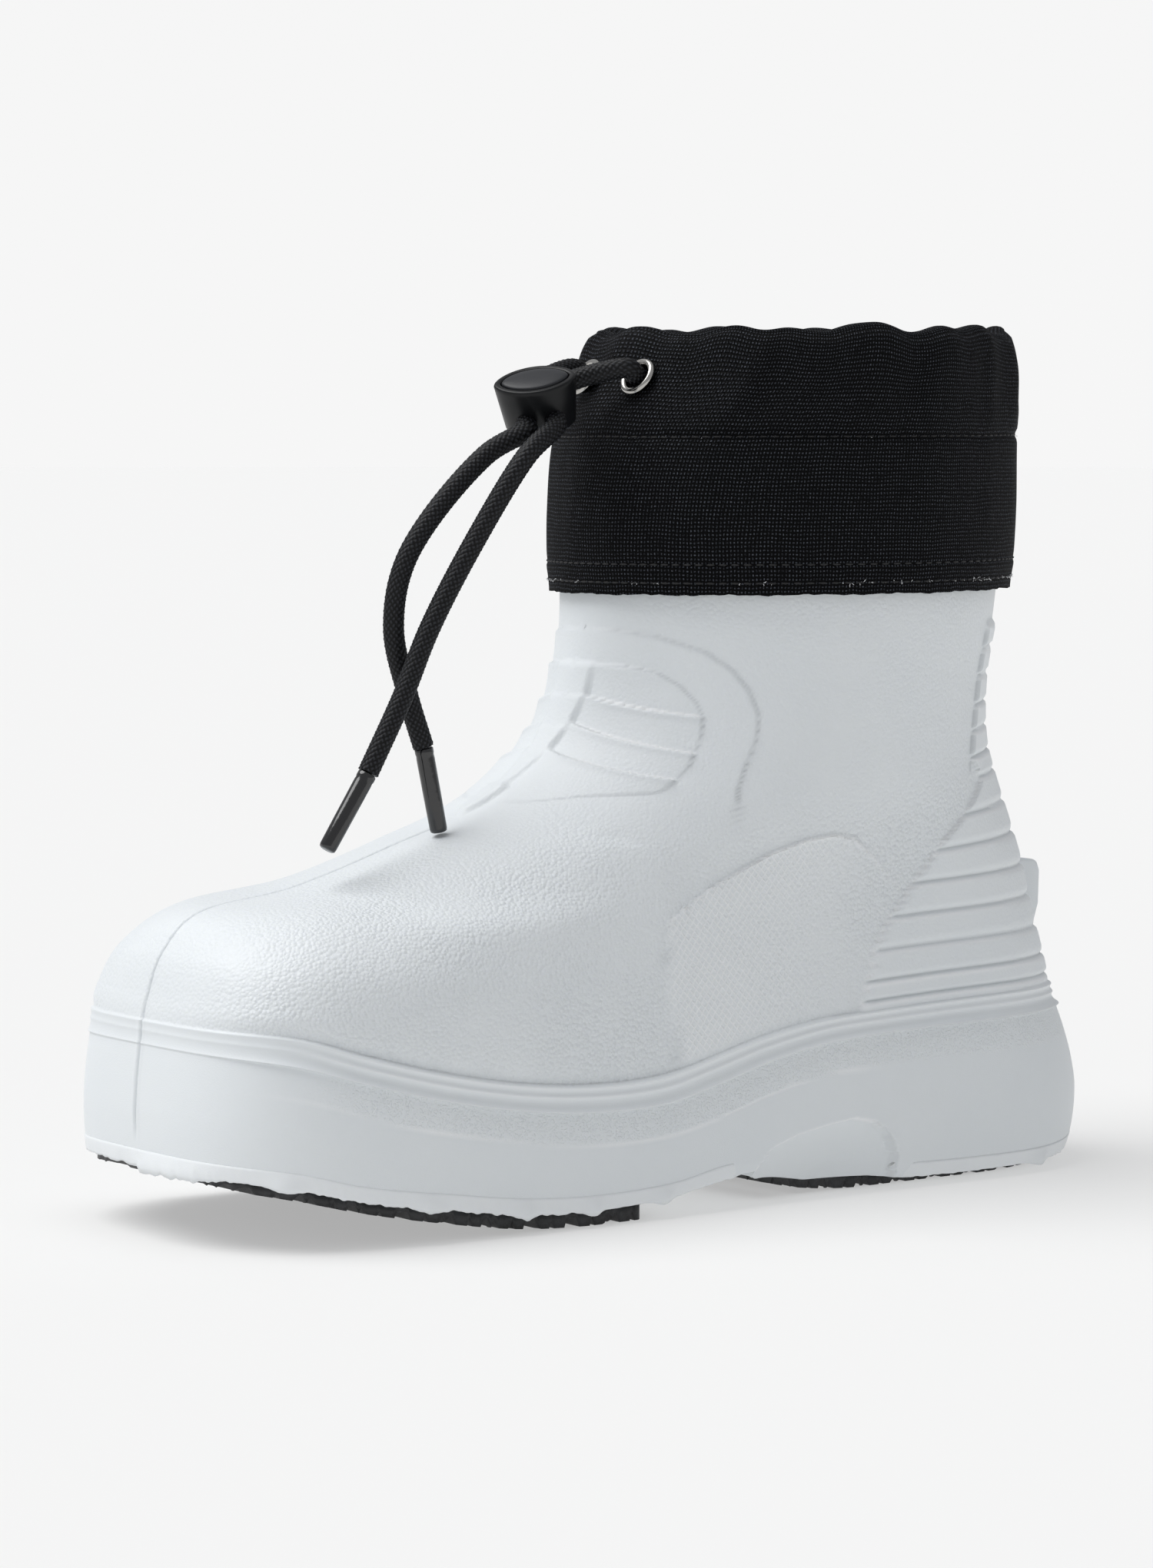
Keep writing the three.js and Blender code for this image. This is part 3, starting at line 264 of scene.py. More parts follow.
# ---- reading the tables ----
def smooth(table, column, x):
    """A column of a table at x, on a cubic through its rows."""
    rows = np.asarray(table, float)
    key, value = rows[:, 0], rows[:, column]
    last = len(key) - 1
    order = np.arange(last + 1)
    low, high = np.maximum(order - 1, 0), np.minimum(order + 1, last)
    slope = (value[high] - value[low]) / (key[high] - key[low])
    at = np.clip(x, key[0], key[-1])
    i = np.clip(np.searchsorted(key, at, side="left") - 1, 0, last - 1)
    wide = key[i + 1] - key[i]
    u = (at - key[i]) / wide
    return (
        (2 * u**3 - 3 * u**2 + 1) * value[i]
        + (u**3 - 2 * u**2 + u) * wide * slope[i]
        + (3 * u**2 - 2 * u**3) * value[i + 1]
        + (u**3 - u**2) * wide * slope[i + 1]
    )


def straight(table, x, column=1):
    """A column of a table at x, on straight lines between its rows."""
    rows = np.asarray(table, float)
    return np.interp(x, rows[:, 0], rows[:, column])


def step(low, high, x):
    """0 below low, 1 above high, and an S between them."""
    u = np.clip((x - low) / (high - low), 0, 1)
    return u * u * (3 - 2 * u)


def mix(a, b, u):
    return a + (b - a) * u


def level(v):
    return [smooth(LEVELS, c, v) for c in range(1, 13)]


def rand_top(s):
    return smooth(SOLE, 1, s) * SOLE_HEIGHT


def rand_low(s):
    return rand_top(s) - smooth(SOLE, 2, s) * RAND_HEIGHT


def foam_edge(s):
    return smooth(SOLE, 3, s) * SOLE_HEIGHT


def ground(s):
    return np.maximum(0, smooth(SOLE, 4, s) * SOLE_HEIGHT)


def flare(s):
    return smooth(SOLE, 5, s) * HEEL_FLARE


def floor_at(s):
    return smooth(SOLE, 6, s) * FLOOR_HEIGHT


def bend(y):
    return TOE_SWING * smooth(SWING, 1, y / FOOT_LENGTH)


def along(t):
    return (1 - np.cos(np.pi * t)) / 2


def cap(reach, square, d):
    u = np.clip(d / reach, 0, 1)
    return (1 - (1 - u) ** square) ** (1 / square)


def half_width(ball, waist, heel, s):
    keys = [0, 0.28, 0.58, 0.84, 1]
    share = [
        smooth([[k, float(n in group)] for n, k in enumerate(keys)], 1, s)
        for group in ((0, 1), (2,), (3, 4))
    ]
    return ball * share[0] + waist * share[1] + heel * share[2]


def outline(row, at, toe=0, heel=None, side=None, swing=1):
    """A point of a level's outline; at runs from -1 over 0 at the toe to 1, both ends at the heel."""
    heel = toe if heel is None else heel
    side = toe if side is None else side
    front, front_z, back, back_z, ball, waist, heel_w, toe_r, toe_n, heel_r, heel_n, wave = row
    s = along(np.abs(at))
    y0, y1 = front - toe, back + heel
    y = mix(y0, y1, s)
    half = half_width(ball, waist, heel_w, s) + side
    wide = half * cap(toe_r + toe, toe_n, y - y0) * cap(heel_r + heel, heel_n, y1 - y)
    chord = mix(rand_top(0), rand_top(1), s)
    z = mix(front_z, back_z, s) + wave * (rand_top(s) - chord)
    return np.stack([np.sign(at) * wide + swing * bend(y), y, z + 0 * y], axis=-1)


def toe_fade(s):
    """The rand's ridges and groove die away round the toe."""
    return 0.25 + 0.75 * step(0.0, 0.13, s)


def upper_point(at, v):
    inset = -RAND_INSET * np.exp(-2.2 * v) * toe_fade(along(np.abs(at)))
    return outline(level(v), at, inset, swing=1 - v / RIM)


def unit(vectors):
    return vectors / np.maximum(np.linalg.norm(vectors, axis=-1, keepdims=True), 1e-9)


def sole_y(s):
    return mix(LEVELS[0][1], LEVELS[0][3], s)


def drawn_in(points, keep):
    """The points with a share of their distance from the foot's middle line."""
    middle = bend(points[:, 1])
    points[:, 0] = middle + (points[:, 0] - middle) * keep
    return points


def wrap(at):
    return (at + 1) % 2 - 1


def upper_frame(at, v):
    """The upper's outward normal, and how many millimetres a unit of at and of v is."""
    e = 0.003
    low, high = np.maximum(v - 0.03, 0), np.minimum(v + 0.03, RIM)
    across = upper_point(wrap(at + e), v) - upper_point(wrap(at - e), v)
    up = upper_point(at, high) - upper_point(at, low)
    normal = unit(np.cross(across, up))
    return normal, np.linalg.norm(across, axis=-1) / (2 * e), np.linalg.norm(up, axis=-1) / (high - low)


def wall_point(at, q):
    s = along(np.abs(at))
    share = smooth(BULGE, 1, q)
    p = outline(level(0), at, flare(0) * share, flare(1) * share, flare(s) * share)
    p[..., 2] = mix(foam_edge(s), rand_low(s), q)
    return p


def rand_point(at, f, out):
    s = along(np.abs(at))
    keep = BULGE[-1][1] * (1 - f) ** 2
    p = outline(level(0), at, flare(0) * keep + out, flare(1) * keep + out, flare(s) * keep + out)
    p[..., 2] = mix(rand_low(s), rand_top(s), f)
    return p


def within(level_gap, round_gap):
    """Distance inside a form's edge, from the distances to it upwards and sideways."""
    near = np.abs(level_gap * round_gap) / np.sqrt(level_gap**2 + round_gap**2 + 1e-9)
    inside = (level_gap > 0) & (round_gap > 0)
    return np.where(inside, near, np.minimum(level_gap, round_gap))


def line(distance, width):
    """How near a place is to a thin line, from 0 to 1."""
    return np.exp(-((distance / width) ** 2))


def seam(at, points, swing):
    """The parting groove at the toe: its depth, from how far a point lies from the middle."""
    aside = np.abs(points[:, 0] - swing * bend(points[:, 1])) / SEAM_WIDTH
    return np.where(np.abs(at) < 0.3, line(aside, 1) - 0.35 * line(aside - 2.4, 1), 0)


def upper_relief(at, v, per_at, per_v):
    """How far each raised form lifts the upper's skin, and the masks that its finish follows.

    The painted shade and highlight mask: above 0 the foam is painted darker as shade, below 0 lighter as a
    highlight.
    """
    t = np.abs(at)
    # the plateau round the pad
    edge = straight(ARC_EDGE, v)
    top = straight([[t_, v_] for v_, t_ in reversed(ARC_EDGE)], t)
    inside = within((top - v) * per_v, (edge - t) * per_at)
    height = PLATEAU_STEP * step(-0.6, 0.6, inside) * step(4.9, 6.2, v)
    # painted shade along the plateau's edge
    painted_shade_and_highlight = 0.5 * line(inside + 0.2, 0.75) * step(4.9, 5.6, v) * step(0.02, 0.1, t)
    # the soft fold where the vamp meets the side
    inside = (straight(VAMP_EDGE, v) - t) * per_at
    height = height + 0.7 * step(-5, 4, inside) * step(2.2, 3.4, v) * step(5.6, 4.9, v)
    # the pad, whose ribs lap like shingles
    edge = straight(PAD_EDGE, v)
    top = straight([[t_, v_] for v_, t_ in reversed(PAD_EDGE[4:])], t)
    inside = within((top - v) * per_v, (edge - t) * per_at)
    inside = np.minimum(inside, (v - PAD_LINES[0][0] - 0.1 * step(0.1, 0.2, t)) * per_v)
    out = 1 - np.clip(t / np.maximum(edge, 1e-3), 0, 1)
    lines = [low + climb * out for low, climb in PAD_LINES] + [np.full_like(v, 8.5)]
    lap = np.full_like(v, 0.85)
    for low, high in zip(lines, lines[1:]):
        phase = np.clip((v - low) / (high - low), 0, 1)
        lap = np.where((v >= low) & (v < high), 0.1 + 0.95 * phase**1.4, lap)
    on_pad = step(-0.35, 0.45, inside)
    # a painted highlight just above each rib's line and a faint painted shade below it
    for rib in lines[1:-1]:
        above = (v - rib) * per_v
        lit = 0.3 * line(above + 1.4, 0.9) - 0.9 * line(above - 0.2, 0.5)
        painted_shade_and_highlight = painted_shade_and_highlight + lit * on_pad * step(0.04, 0.12, t)
    # painted shade along the pad's outline
    painted_shade_and_highlight = painted_shade_and_highlight + 0.75 * line(inside, 0.4) * step(0.02, 0.1, t)
    height = height + 0.85 * PAD_STEP * lap * on_pad
    # the middle band's stair
    inside = (straight(BAND_EDGE, v) - t) * per_at
    stair = straight(BAND, v)
    raised = PLATEAU_STEP + 0.6 * PAD_STEP + 0.4 * BAND_STEP * stair
    height = mix(height, raised, step(-0.8, 0.7, inside) * (stair > 0))
    # on the band the painted marks beneath are dropped, and a faint painted shade runs along its edge
    beside = painted_shade_and_highlight * step(0.6, -0.6, inside) + 0.1 * line(inside + 0.1, 0.45)
    painted_shade_and_highlight = np.where(stair > 0, beside, painted_shade_and_highlight)
    # the parting line up the toe
    parting = seam(at, upper_point(at, v), 1 - v / RIM) * step(5.7, 5.3, v)
    height = height - 0.55 * parting
    # painted shade in the parting groove
    painted_shade_and_highlight = painted_shade_and_highlight + 0.7 * np.clip(parting, 0, 1)
    # the side panel, with a lip along its top
    front = (t - straight(PANEL_FRONT, v)) * per_at
    under = (straight(PANEL_TOP, t) - v) * per_v
    inside = within(under, front)
    fade = step(0.67, 0.5, t)
    panel = step(-0.4, 0.5, inside) * fade
    lip = line(inside - 0.5, 0.55) * step(2.6, 3.4, v) * (0.3 + 0.7 * fade)
    height = height + PANEL_STEP * panel + 0.5 * lip
    front_line = line(inside + 0.3, 0.5) * fade * step(3.2, 2.6, v) * step(0.2, 0.5, v)
    # a painted highlight along the panel's lip and a faint painted shade along its front edge
    painted_shade_and_highlight = painted_shade_and_highlight - 0.9 * lip + 0.35 * front_line
    # the heel's ribs
    field = (t - straight(HEEL_EDGE, v)) * per_at
    ribs = step(-0.2, 0.5, field)
    marks = [-0.9, *GROOVES]
    rib = np.zeros_like(v)
    for low, high in zip(marks, marks[1:]):
        phase = np.clip((v - low) / (high - low), 0, 1)
        pillow = np.sin(np.pi / 2 * np.minimum(1, phase / 0.26)) ** 0.7
        pillow = pillow * np.sin(np.pi / 2 * np.minimum(1, (1 - phase) / 0.2)) ** 0.8
        rib = np.where((v >= low) & (v < high), pillow, rib)
        dash = np.where((phase > 0.12) & (phase < 0.82), line((t - 0.75) * per_at, 0.75), 0)
        groove = (v - high) * per_v
        # painted shade in each groove and a painted highlight on the rib's edge just below it; the dashes
        # along the field's side edge are painted darker
        mark = 0.7 * line(groove, 0.4) - 0.6 * line(groove + 1.0, 0.5)
        painted_shade_and_highlight = painted_shade_and_highlight + mark * ribs + 0.9 * dash * step(5.3, 5.5, v) * step(8.75, 8.6, v)
    # a painted highlight along the field's front edge
    painted_shade_and_highlight = painted_shade_and_highlight - 0.6 * line(field + 0.1, 0.5) * step(5.6, 5.0, v)
    height = height + (HEEL_RIB * rib - 0.15) * ribs
    # the grain is strongest on the vamp's side
    grain = np.clip(1 - 0.75 * ribs, 0, 1)
    grain = grain * mix(1, 0.35, step(4.2, 6, v)) * mix(0.5, 1, step(0.02, 0.2, t))
    hatch = np.clip(step(0.2, 1.2, inside) * step(0.64, 0.5, t) * step(0.1, 0.5, v), 0, 1)
    return height, grain, hatch, painted_shade_and_highlight


def notch_gap(at, z):
    """Distance inside the arch scoop's rim, its place along the scoop, and that below its top."""
    a = (sole_y(along(np.abs(at))) - sole_y(NOTCH_PLACE)) / NOTCH_LENGTH
    b = (z - foam_edge(0.7)) / NOTCH_HEIGHT
    top = straight(NOTCH, a)
    under = (top - b) * NOTCH_HEIGHT
    aside = np.minimum(a - NOTCH[0][0], NOTCH[-1][0] - a) * NOTCH_LENGTH
    return np.minimum(under, aside), a, under


def notch_depth(at, z):
    """How deep the arch scoop goes in at a place of the sole wall."""
    inside, a, under = notch_gap(at, z)
    # a crisp rim, then a bowl that is round both along the foot and upwards
    bowl = np.clip(1 - (a / 0.505) ** 2, 0, 1) ** 0.9 * np.clip(under / 11, 0, 1) ** 0.6
    return NOTCH_DEPTH * (0.2 * step(-0.1, 0.7, inside) + 0.8 * bowl * (inside > 0))


def shell_place(at, p):
    """The shell's skin: p runs from under the sole, up the outside, over the rim and down inside."""
    xyz = np.zeros((len(at), 3))
    grain, stipple, hatch, painted_shade_and_highlight = (np.zeros(len(at)) for _ in range(4))
    s = along(np.abs(at))

    zone = p <= 1
    xyz[zone] = drawn_in(wall_skin(at[zone], np.zeros(zone.sum())), p[zone])
    zone = (p > 1) & (p <= 2)
    q = p[zone] - 1
    base = wall_skin(at[zone], q)
    drop = (1 - q) * (rand_low(s[zone]) - foam_edge(s[zone]))
    low_line = line(drop - 7.6, 0.35) * step(0.02, 0.1, s[zone])
    # the scoop's rim gets a painted highlight, turning to a faint painted shade towards the heel
    rim, a, _ = notch_gap(at[zone], mix(foam_edge(s[zone]), rand_low(s[zone]), q))
    rim = line(rim - 0.1, 0.45) * mix(-0.9, 0.1, step(0.3, 0.42, a))
    parting = seam(at[zone], base, 1) * step(0.15, 0.4, q)
    outward = unit(base - np.stack([bend(base[:, 1]), base[:, 1] * 0.9, base[:, 2]], axis=-1))
    base -= outward * (0.12 * low_line + SEAM_DEPTH * parting)[:, None]
    xyz[zone] = base
    # painted shade in the parting groove and a painted highlight along the stippled band's lower edge
    painted_shade_and_highlight[zone] = rim + 0.7 * np.clip(parting, 0, 1) - 0.5 * low_line
    stipple[zone] = step(7.8, 7.0, drop) * step(0.05, 0.14, s[zone])
    zone = (p > 2) & (p <= 3)
    f = p[zone] - 2
    soft = toe_fade(s[zone])
    ridge = mix(0.6 * (1 - f) * step(0.0, 0.05, s[zone]), smooth(RAND, 1, f), soft)
    xyz[zone] = rand_point(at[zone], f, RAND_STEP * ridge)
    parting = seam(at[zone], xyz[zone], 1)
    xyz[zone, 1] += SEAM_DEPTH * parting
    # painted shade in the rand's hollows and a painted highlight on its ridges
    painted_shade_and_highlight[zone] = 0.7 * np.clip(parting, 0, 1) + (0.5 - ridge) * 0.7 * soft
    zone = (p > 3) & (p <= 13)
    v = p[zone] - 3
    normal, per_at, per_v = upper_frame(at[zone], v)
    height, grain[zone], hatch[zone], painted_shade_and_highlight[zone] = upper_relief(at[zone], v, per_at, per_v)
    xyz[zone] = upper_point(at[zone], v) + normal * height[:, None]
    # over the rim and down the inside
    zone = (p > 13) & (p <= 24)
    v = np.where(p[zone] <= 14, RIM, RIM - (p[zone] - 14) * 0.92)
    thick = WALL * np.clip(p[zone] - 13, 0, 1)
    normal, _, _ = upper_frame(at[zone], v)
    flat = v > RIM - 0.01
    normal[flat, 2] = 0
    normal = unit(normal)
    xyz[zone] = upper_point(at[zone], v) - normal * thick[:, None]
    xyz[zone, 2] += 0.5 * np.sin(np.pi * np.clip(p[zone] - 13, 0, 1))
    last = upper_point(at, np.full(len(at), 0.8)) - upper_frame(at, np.full(len(at), 0.8))[0] * WALL
    zone = (p > 24) & (p <= 25)
    turn = p[zone] - 24
    corner = outline(level(0), at[zone], -mix(0.6, 1.0, turn) * FLOOR_MARGIN)
    corner[:, 2] = floor_at(s[zone]) + FLOOR_ROUND * (1 - np.sqrt(np.clip(1 - (1 - turn) ** 2, 0, 1)))
    xyz[zone] = mix(last[zone], corner, step(0, 0.35, turn)[:, None])
    zone = p > 25
    floor = outline(level(0), at[zone], -FLOOR_MARGIN)
    floor[:, 2] = floor_at(s[zone])
    xyz[zone] = drawn_in(floor, 26 - p[zone])
    return xyz, {"grain": grain, "stipple": stipple, "hatch": hatch, "painted_shade_and_highlight": np.clip(painted_shade_and_highlight, -1, 1)}


def cuff_point(at, up, out):
    """A point of the cuff: up is a share of its height, out the distance from the cloth's own face."""
    row = level(np.full(np.shape(at), float(RIM)))
    row[8] = smooth(CUFF, 4, up)
    lean, gather, back = (smooth(CUFF, c, up) * CUFF_LEAN for c in (1, 2, 3))
    grow = CLEAR + CUFF_WALL + out
    p = outline(row, at, grow - lean, grow + back, grow - gather, 0)
    p[..., 2] = CUFF_FOOT + up * CUFF_HEIGHT
    return p


def cuff_normal(at, up):
    e = 0.01
    across = cuff_point(wrap(at + e), up, 0) - cuff_point(wrap(at - e), up, 0)
    rise = cuff_point(at, up + e, 0) - cuff_point(at, up - e, 0)
    return unit(np.cross(across, rise))


# ---- making meshes ----
def flat_sheet(columns, rows):
    """A flat grid whose points hold their place: x from columns and y from rows."""
    bm = bmesh.new()
    bmesh.ops.create_grid(bm, x_segments=len(columns) - 1, y_segments=len(rows) - 1, size=1)
    for v in bm.verts:
        i = round((v.co.x + 1) / 2 * (len(columns) - 1))
        j = round((v.co.y + 1) / 2 * (len(rows) - 1))
        v.co = (columns[i], rows[j], 0)
    return bm


def refine(bm, regions):
    """Splits the flat sheet's quads in four inside each region of (at from, at to, row from, row to)."""
    for low, high, start, stop in regions:
        edges = [
            e for e in bm.edges
            if all(low <= abs(v.co.x) <= high and start <= v.co.y <= stop for v in e.verts)
        ]
        bmesh.ops.subdivide_edges(bm, edges=edges, cuts=1, use_grid_fill=True)


def wrapped(bm, place, uv=None):
    """Lays a flat sheet on the surface that place gives, keeps its masks, and closes its seams."""
    bm.verts.index_update()
    flat = np.array([v.co[:2] for v in bm.verts])
    xyz, masks = place(flat[:, 0], flat[:, 1])
    if uv is not None:
        layer = bm.loops.layers.uv.new("surface")
        spots = uv(flat[:, 0], flat[:, 1])
        for face in bm.faces:
            for loop in face.loops:
                loop[layer].uv = spots[loop.vert.index]
    for name, values in masks.items():
        layer = bm.verts.layers.float.new(name)
        for v, value in zip(bm.verts, values):
            v[layer] = value
    for v, co in zip(bm.verts, (xyz + ORIGIN) * MM):
        v.co = co
    bmesh.ops.remove_doubles(bm, verts=bm.verts, dist=1e-6)
    bmesh.ops.dissolve_degenerate(bm, edges=bm.edges, dist=1e-7)
    bmesh.ops.recalc_face_normals(bm, faces=bm.faces)
    return bm


def stand(axis, spot):
    """The matrix that stands Z along an axis at a spot."""
    turn = Vector((0, 0, 1)).rotation_difference(axis).to_matrix().to_4x4()
    turn.translation = spot
    return turn


def spun(profile, steps, closed, matrix):
    """A profile of (radius, height), open or closed, turned round Z and put in its place."""
    bm = bmesh.new()
    verts = [bm.verts.new((r * MM, 0, z * MM)) for r, z in profile]
    edges = [bm.edges.new(pair) for pair in zip(verts, verts[1:] + verts[:closed])]
    bmesh.ops.spin(bm, geom=verts + edges, axis=(0, 0, 1), cent=(0, 0, 0), steps=steps,
                   angle=2 * math.pi, use_merge=True)
    bmesh.ops.remove_doubles(bm, verts=bm.verts, dist=1e-6)
    bmesh.ops.transform(bm, matrix=matrix, verts=bm.verts)
    bmesh.ops.recalc_face_normals(bm, faces=bm.faces)
    return bm


def add_object(name, bm, material):
    """Turns a bmesh into a smooth-shaded object."""
    mesh = bpy.data.meshes.new(name)
    bm.to_mesh(mesh)
    bm.free()
    mesh.shade_smooth()
    mesh.materials.append(material)
    piece = bpy.data.objects.new(name, mesh)
    bpy.context.scene.collection.objects.link(piece)
    return piece


def add_piece(name, bm, material, stands_for=(), body="boot"):
    """Makes an object that rides on a body and stands for the named solids."""
    piece = add_object(name, bm, material)
    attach(piece, body)
    if stands_for:
        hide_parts(*stands_for)
    return piece


# ---- making materials ----
# painted shade and painted highlight colours for the foam's relief
PAINTED_SHADE_COLOR = "B2B7BB"
PAINTED_HIGHLIGHT_COLOR = "FBFCFD"
BLOOM_COLOR = "2A2B2E"
FELT_COLORS = ("33353A", "6A6C70")
# painted shade in the gaps between the braid's strands
BRAID_GAP_SHADE = "020203"


def linear(code):
    """An sRGB hex colour as linear RGBA."""
    parts = [int(code[i:i + 2], 16) / 255 for i in (0, 2, 4)]
    return [c / 12.92 if c <= 0.04045 else ((c + 0.055) / 1.055) ** 2.4 for c in parts] + [1]


def feed(tree, socket, value):
    """Gives a socket a constant, another socket, or a node's first output."""
    if isinstance(value, bpy.types.Node):
        value = value.outputs[0]
    if isinstance(value, bpy.types.NodeSocket):
        tree.links.new(value, socket)
    else:
        socket.default_value = value


def add(tree, kind, inputs=None, **settings):
    """Adds a node with its settings; an input is a value, a socket or a node."""
    node = tree.nodes.new(kind)
    for key, value in settings.items():
        setattr(node, key, value)
    for key, value in (inputs or {}).items():
        feed(tree, node.inputs[key], value)
    return node


def new_material(name):
    material = bpy.data.materials.new(name)
    material.use_nodes = True
    tree = material.node_tree
    shader = tree.nodes["Principled BSDF"]
    return material, tree, shader


def tinted(tree, factor, low, high):
    """Mixes two colours, each a socket or a linear value."""
    return add(tree, "ShaderNodeMix", {"Factor": factor, "A": low, "B": high},
               data_type="RGBA").outputs["Result"]


def attribute(tree, name):
    return add(tree, "ShaderNodeAttribute", attribute_name=name).outputs["Fac"]


def clouds(tree, place, scale, detail=2):
    return add(tree, "ShaderNodeTexNoise", {"Vector": place, "Scale": scale, "Detail": detail})


def ramp(tree, value, low=0, high=1, bottom=0, top=1):
    """Maps the range from low to high to the one from bottom to top, and clamps it."""
    return add(tree, "ShaderNodeMapRange", {"Value": value, "From Min": low, "From Max": high,
                                            "To Min": bottom, "To Max": top})


def bumps(tree, height, distance, strength=1):
    """A bump whose height counts in units of the distance."""
    return add(tree, "ShaderNodeBump", {"Height": height, "Distance": distance, "Strength": strength})


def sums(tree, operation, *values, **settings):
    """A Math node on up to three values, sockets or nodes."""
    return add(tree, "ShaderNodeMath", dict(enumerate(values)), operation=operation, **settings)


def connect(tree, shader, **values):
    """Feeds the shader's sockets by their names."""
    for key, value in values.items():
        feed(tree, shader.inputs[key.replace("_", " ")], value)


def moulded_foam(settings):
    """EVA foam from a grained steel mould: satin white, pebbled like fine leather, no gloss coat."""
    material, tree, shader = new_material("Moulded EVA foam")
    place = add(tree, "ShaderNodeTexCoord").outputs["Object"]
    grain, stipple, hatch = (attribute(tree, mask) for mask in ("grain", "stipple", "hatch"))
    size = 1 / (settings.grain_size * MM)
    cells = add(tree, "ShaderNodeTexVoronoi", {"Vector": place, "Scale": size}, feature="F1")
    patches = clouds(tree, place, 38)
    worn = ramp(tree, patches, 0.35, 0.6, 0.6, 1.0)
    pebble = sums(tree, "MULTIPLY", cells.outputs["Distance"], worn)
    pebble = sums(tree, "MULTIPLY", pebble, grain)
    dots = clouds(tree, place, 1 / (0.55 * MM), 0)
    dots = ramp(tree, dots, 0.5, 0.68)
    dots = sums(tree, "MULTIPLY", dots, stipple)
    # the panel's cross-hatch: two sets of fine lines on the side's own Y and Z
    side = add(tree, "ShaderNodeSeparateXYZ", {0: place})
    lines = []
    for lean in (1, -0.8):
        slope = sums(tree, "MULTIPLY_ADD", side.outputs["Z"], lean, side.outputs["Y"])
        wave = sums(tree, "MULTIPLY", slope, math.pi / (2.1 * MM))
        wave = sums(tree, "ABSOLUTE", sums(tree, "SINE", wave))
        lines.append(sums(tree, "POWER", wave, 8))
    cross = sums(tree, "MAXIMUM", lines[0], lines[1])
    cross = sums(tree, "MULTIPLY", cross, hatch)
    rest = sums(tree, "MULTIPLY_ADD", hatch, -0.5, 1.0)
    pebble = sums(tree, "MULTIPLY", pebble, rest)
    relief = sums(tree, "MULTIPLY", pebble, -settings.grain_depth)
    relief = sums(tree, "MULTIPLY_ADD", dots, 0.1, relief)
    relief = sums(tree, "MULTIPLY_ADD", cross, 0.1, relief)
    haze = clouds(tree, place, 1 / (0.35 * MM), 1)
    relief = sums(tree, "MULTIPLY_ADD", haze, 0.035, relief)
    bump = bumps(tree, relief, MM)
    tint = tinted(tree, patches, linear(settings.foam_color), linear(settings.foam_shade))
    # painted shade darkens the creases, grooves and hollows, and a painted highlight lightens thin crests,
    # ridges and lips; this stands in for light and shade on the relief
    painted_shade_and_highlight = attribute(tree, "painted_shade_and_highlight")
    dark = sums(tree, "MULTIPLY", painted_shade_and_highlight, 0.6, use_clamp=True)
    light = sums(tree, "MULTIPLY", painted_shade_and_highlight, -0.8, use_clamp=True)
    tint = tinted(tree, dark, tint, linear(PAINTED_SHADE_COLOR))
    tint = tinted(tree, light, tint, linear(PAINTED_HIGHLIGHT_COLOR))
    # the hatch's fine lines get a painted highlight as well
    cross = sums(tree, "MULTIPLY", cross, 0.45)
    tint = tinted(tree, cross, tint, linear(PAINTED_HIGHLIGHT_COLOR))
    gloss = ramp(tree, patches, bottom=0.42, top=0.54)
    connect(tree, shader, Base_Color=tint, Roughness=gloss, Normal=bump, IOR=1.48,
            Subsurface_Weight=0.08, Subsurface_Radius=(0.004, 0.004, 0.005))
    return material


def tread_rubber(settings):
    """Carbon-black rubber, pressed: dull, with a dusty bloom on its edges."""
    material, tree, shader = new_material("Pressed black rubber")
    place = add(tree, "ShaderNodeTexCoord").outputs["Object"]
    cloud = clouds(tree, place, 160, 4)
    bloom = ramp(tree, cloud, 0.45, 0.75)
    tint = tinted(tree, bloom, linear(settings.rubber_color), linear(BLOOM_COLOR))
    fine = clouds(tree, place, 1 / (0.6 * MM))
    bump = bumps(tree, fine, 0.08 * MM)
    gloss = ramp(tree, cloud, bottom=0.42, top=0.62)
    connect(tree, shader, Base_Color=tint, Roughness=gloss, Normal=bump, IOR=1.52)
    return material


def needled_felt():
    """Grey needled felt: matted fibres, no gloss, a soft edge of light."""
    material, tree, shader = new_material("Needled felt")
    place = add(tree, "ShaderNodeTexCoord").outputs["Object"]
    mat = clouds(tree, place, 1 / (1.6 * MM), 5)
    tint = tinted(tree, mat, linear(FELT_COLORS[0]), linear(FELT_COLORS[1]))
    bump = bumps(tree, mat, 0.5 * MM, 0.8)
    connect(tree, shader, Base_Color=tint, Normal=bump, Roughness=0.95, Sheen_Weight=0.3)
    return material


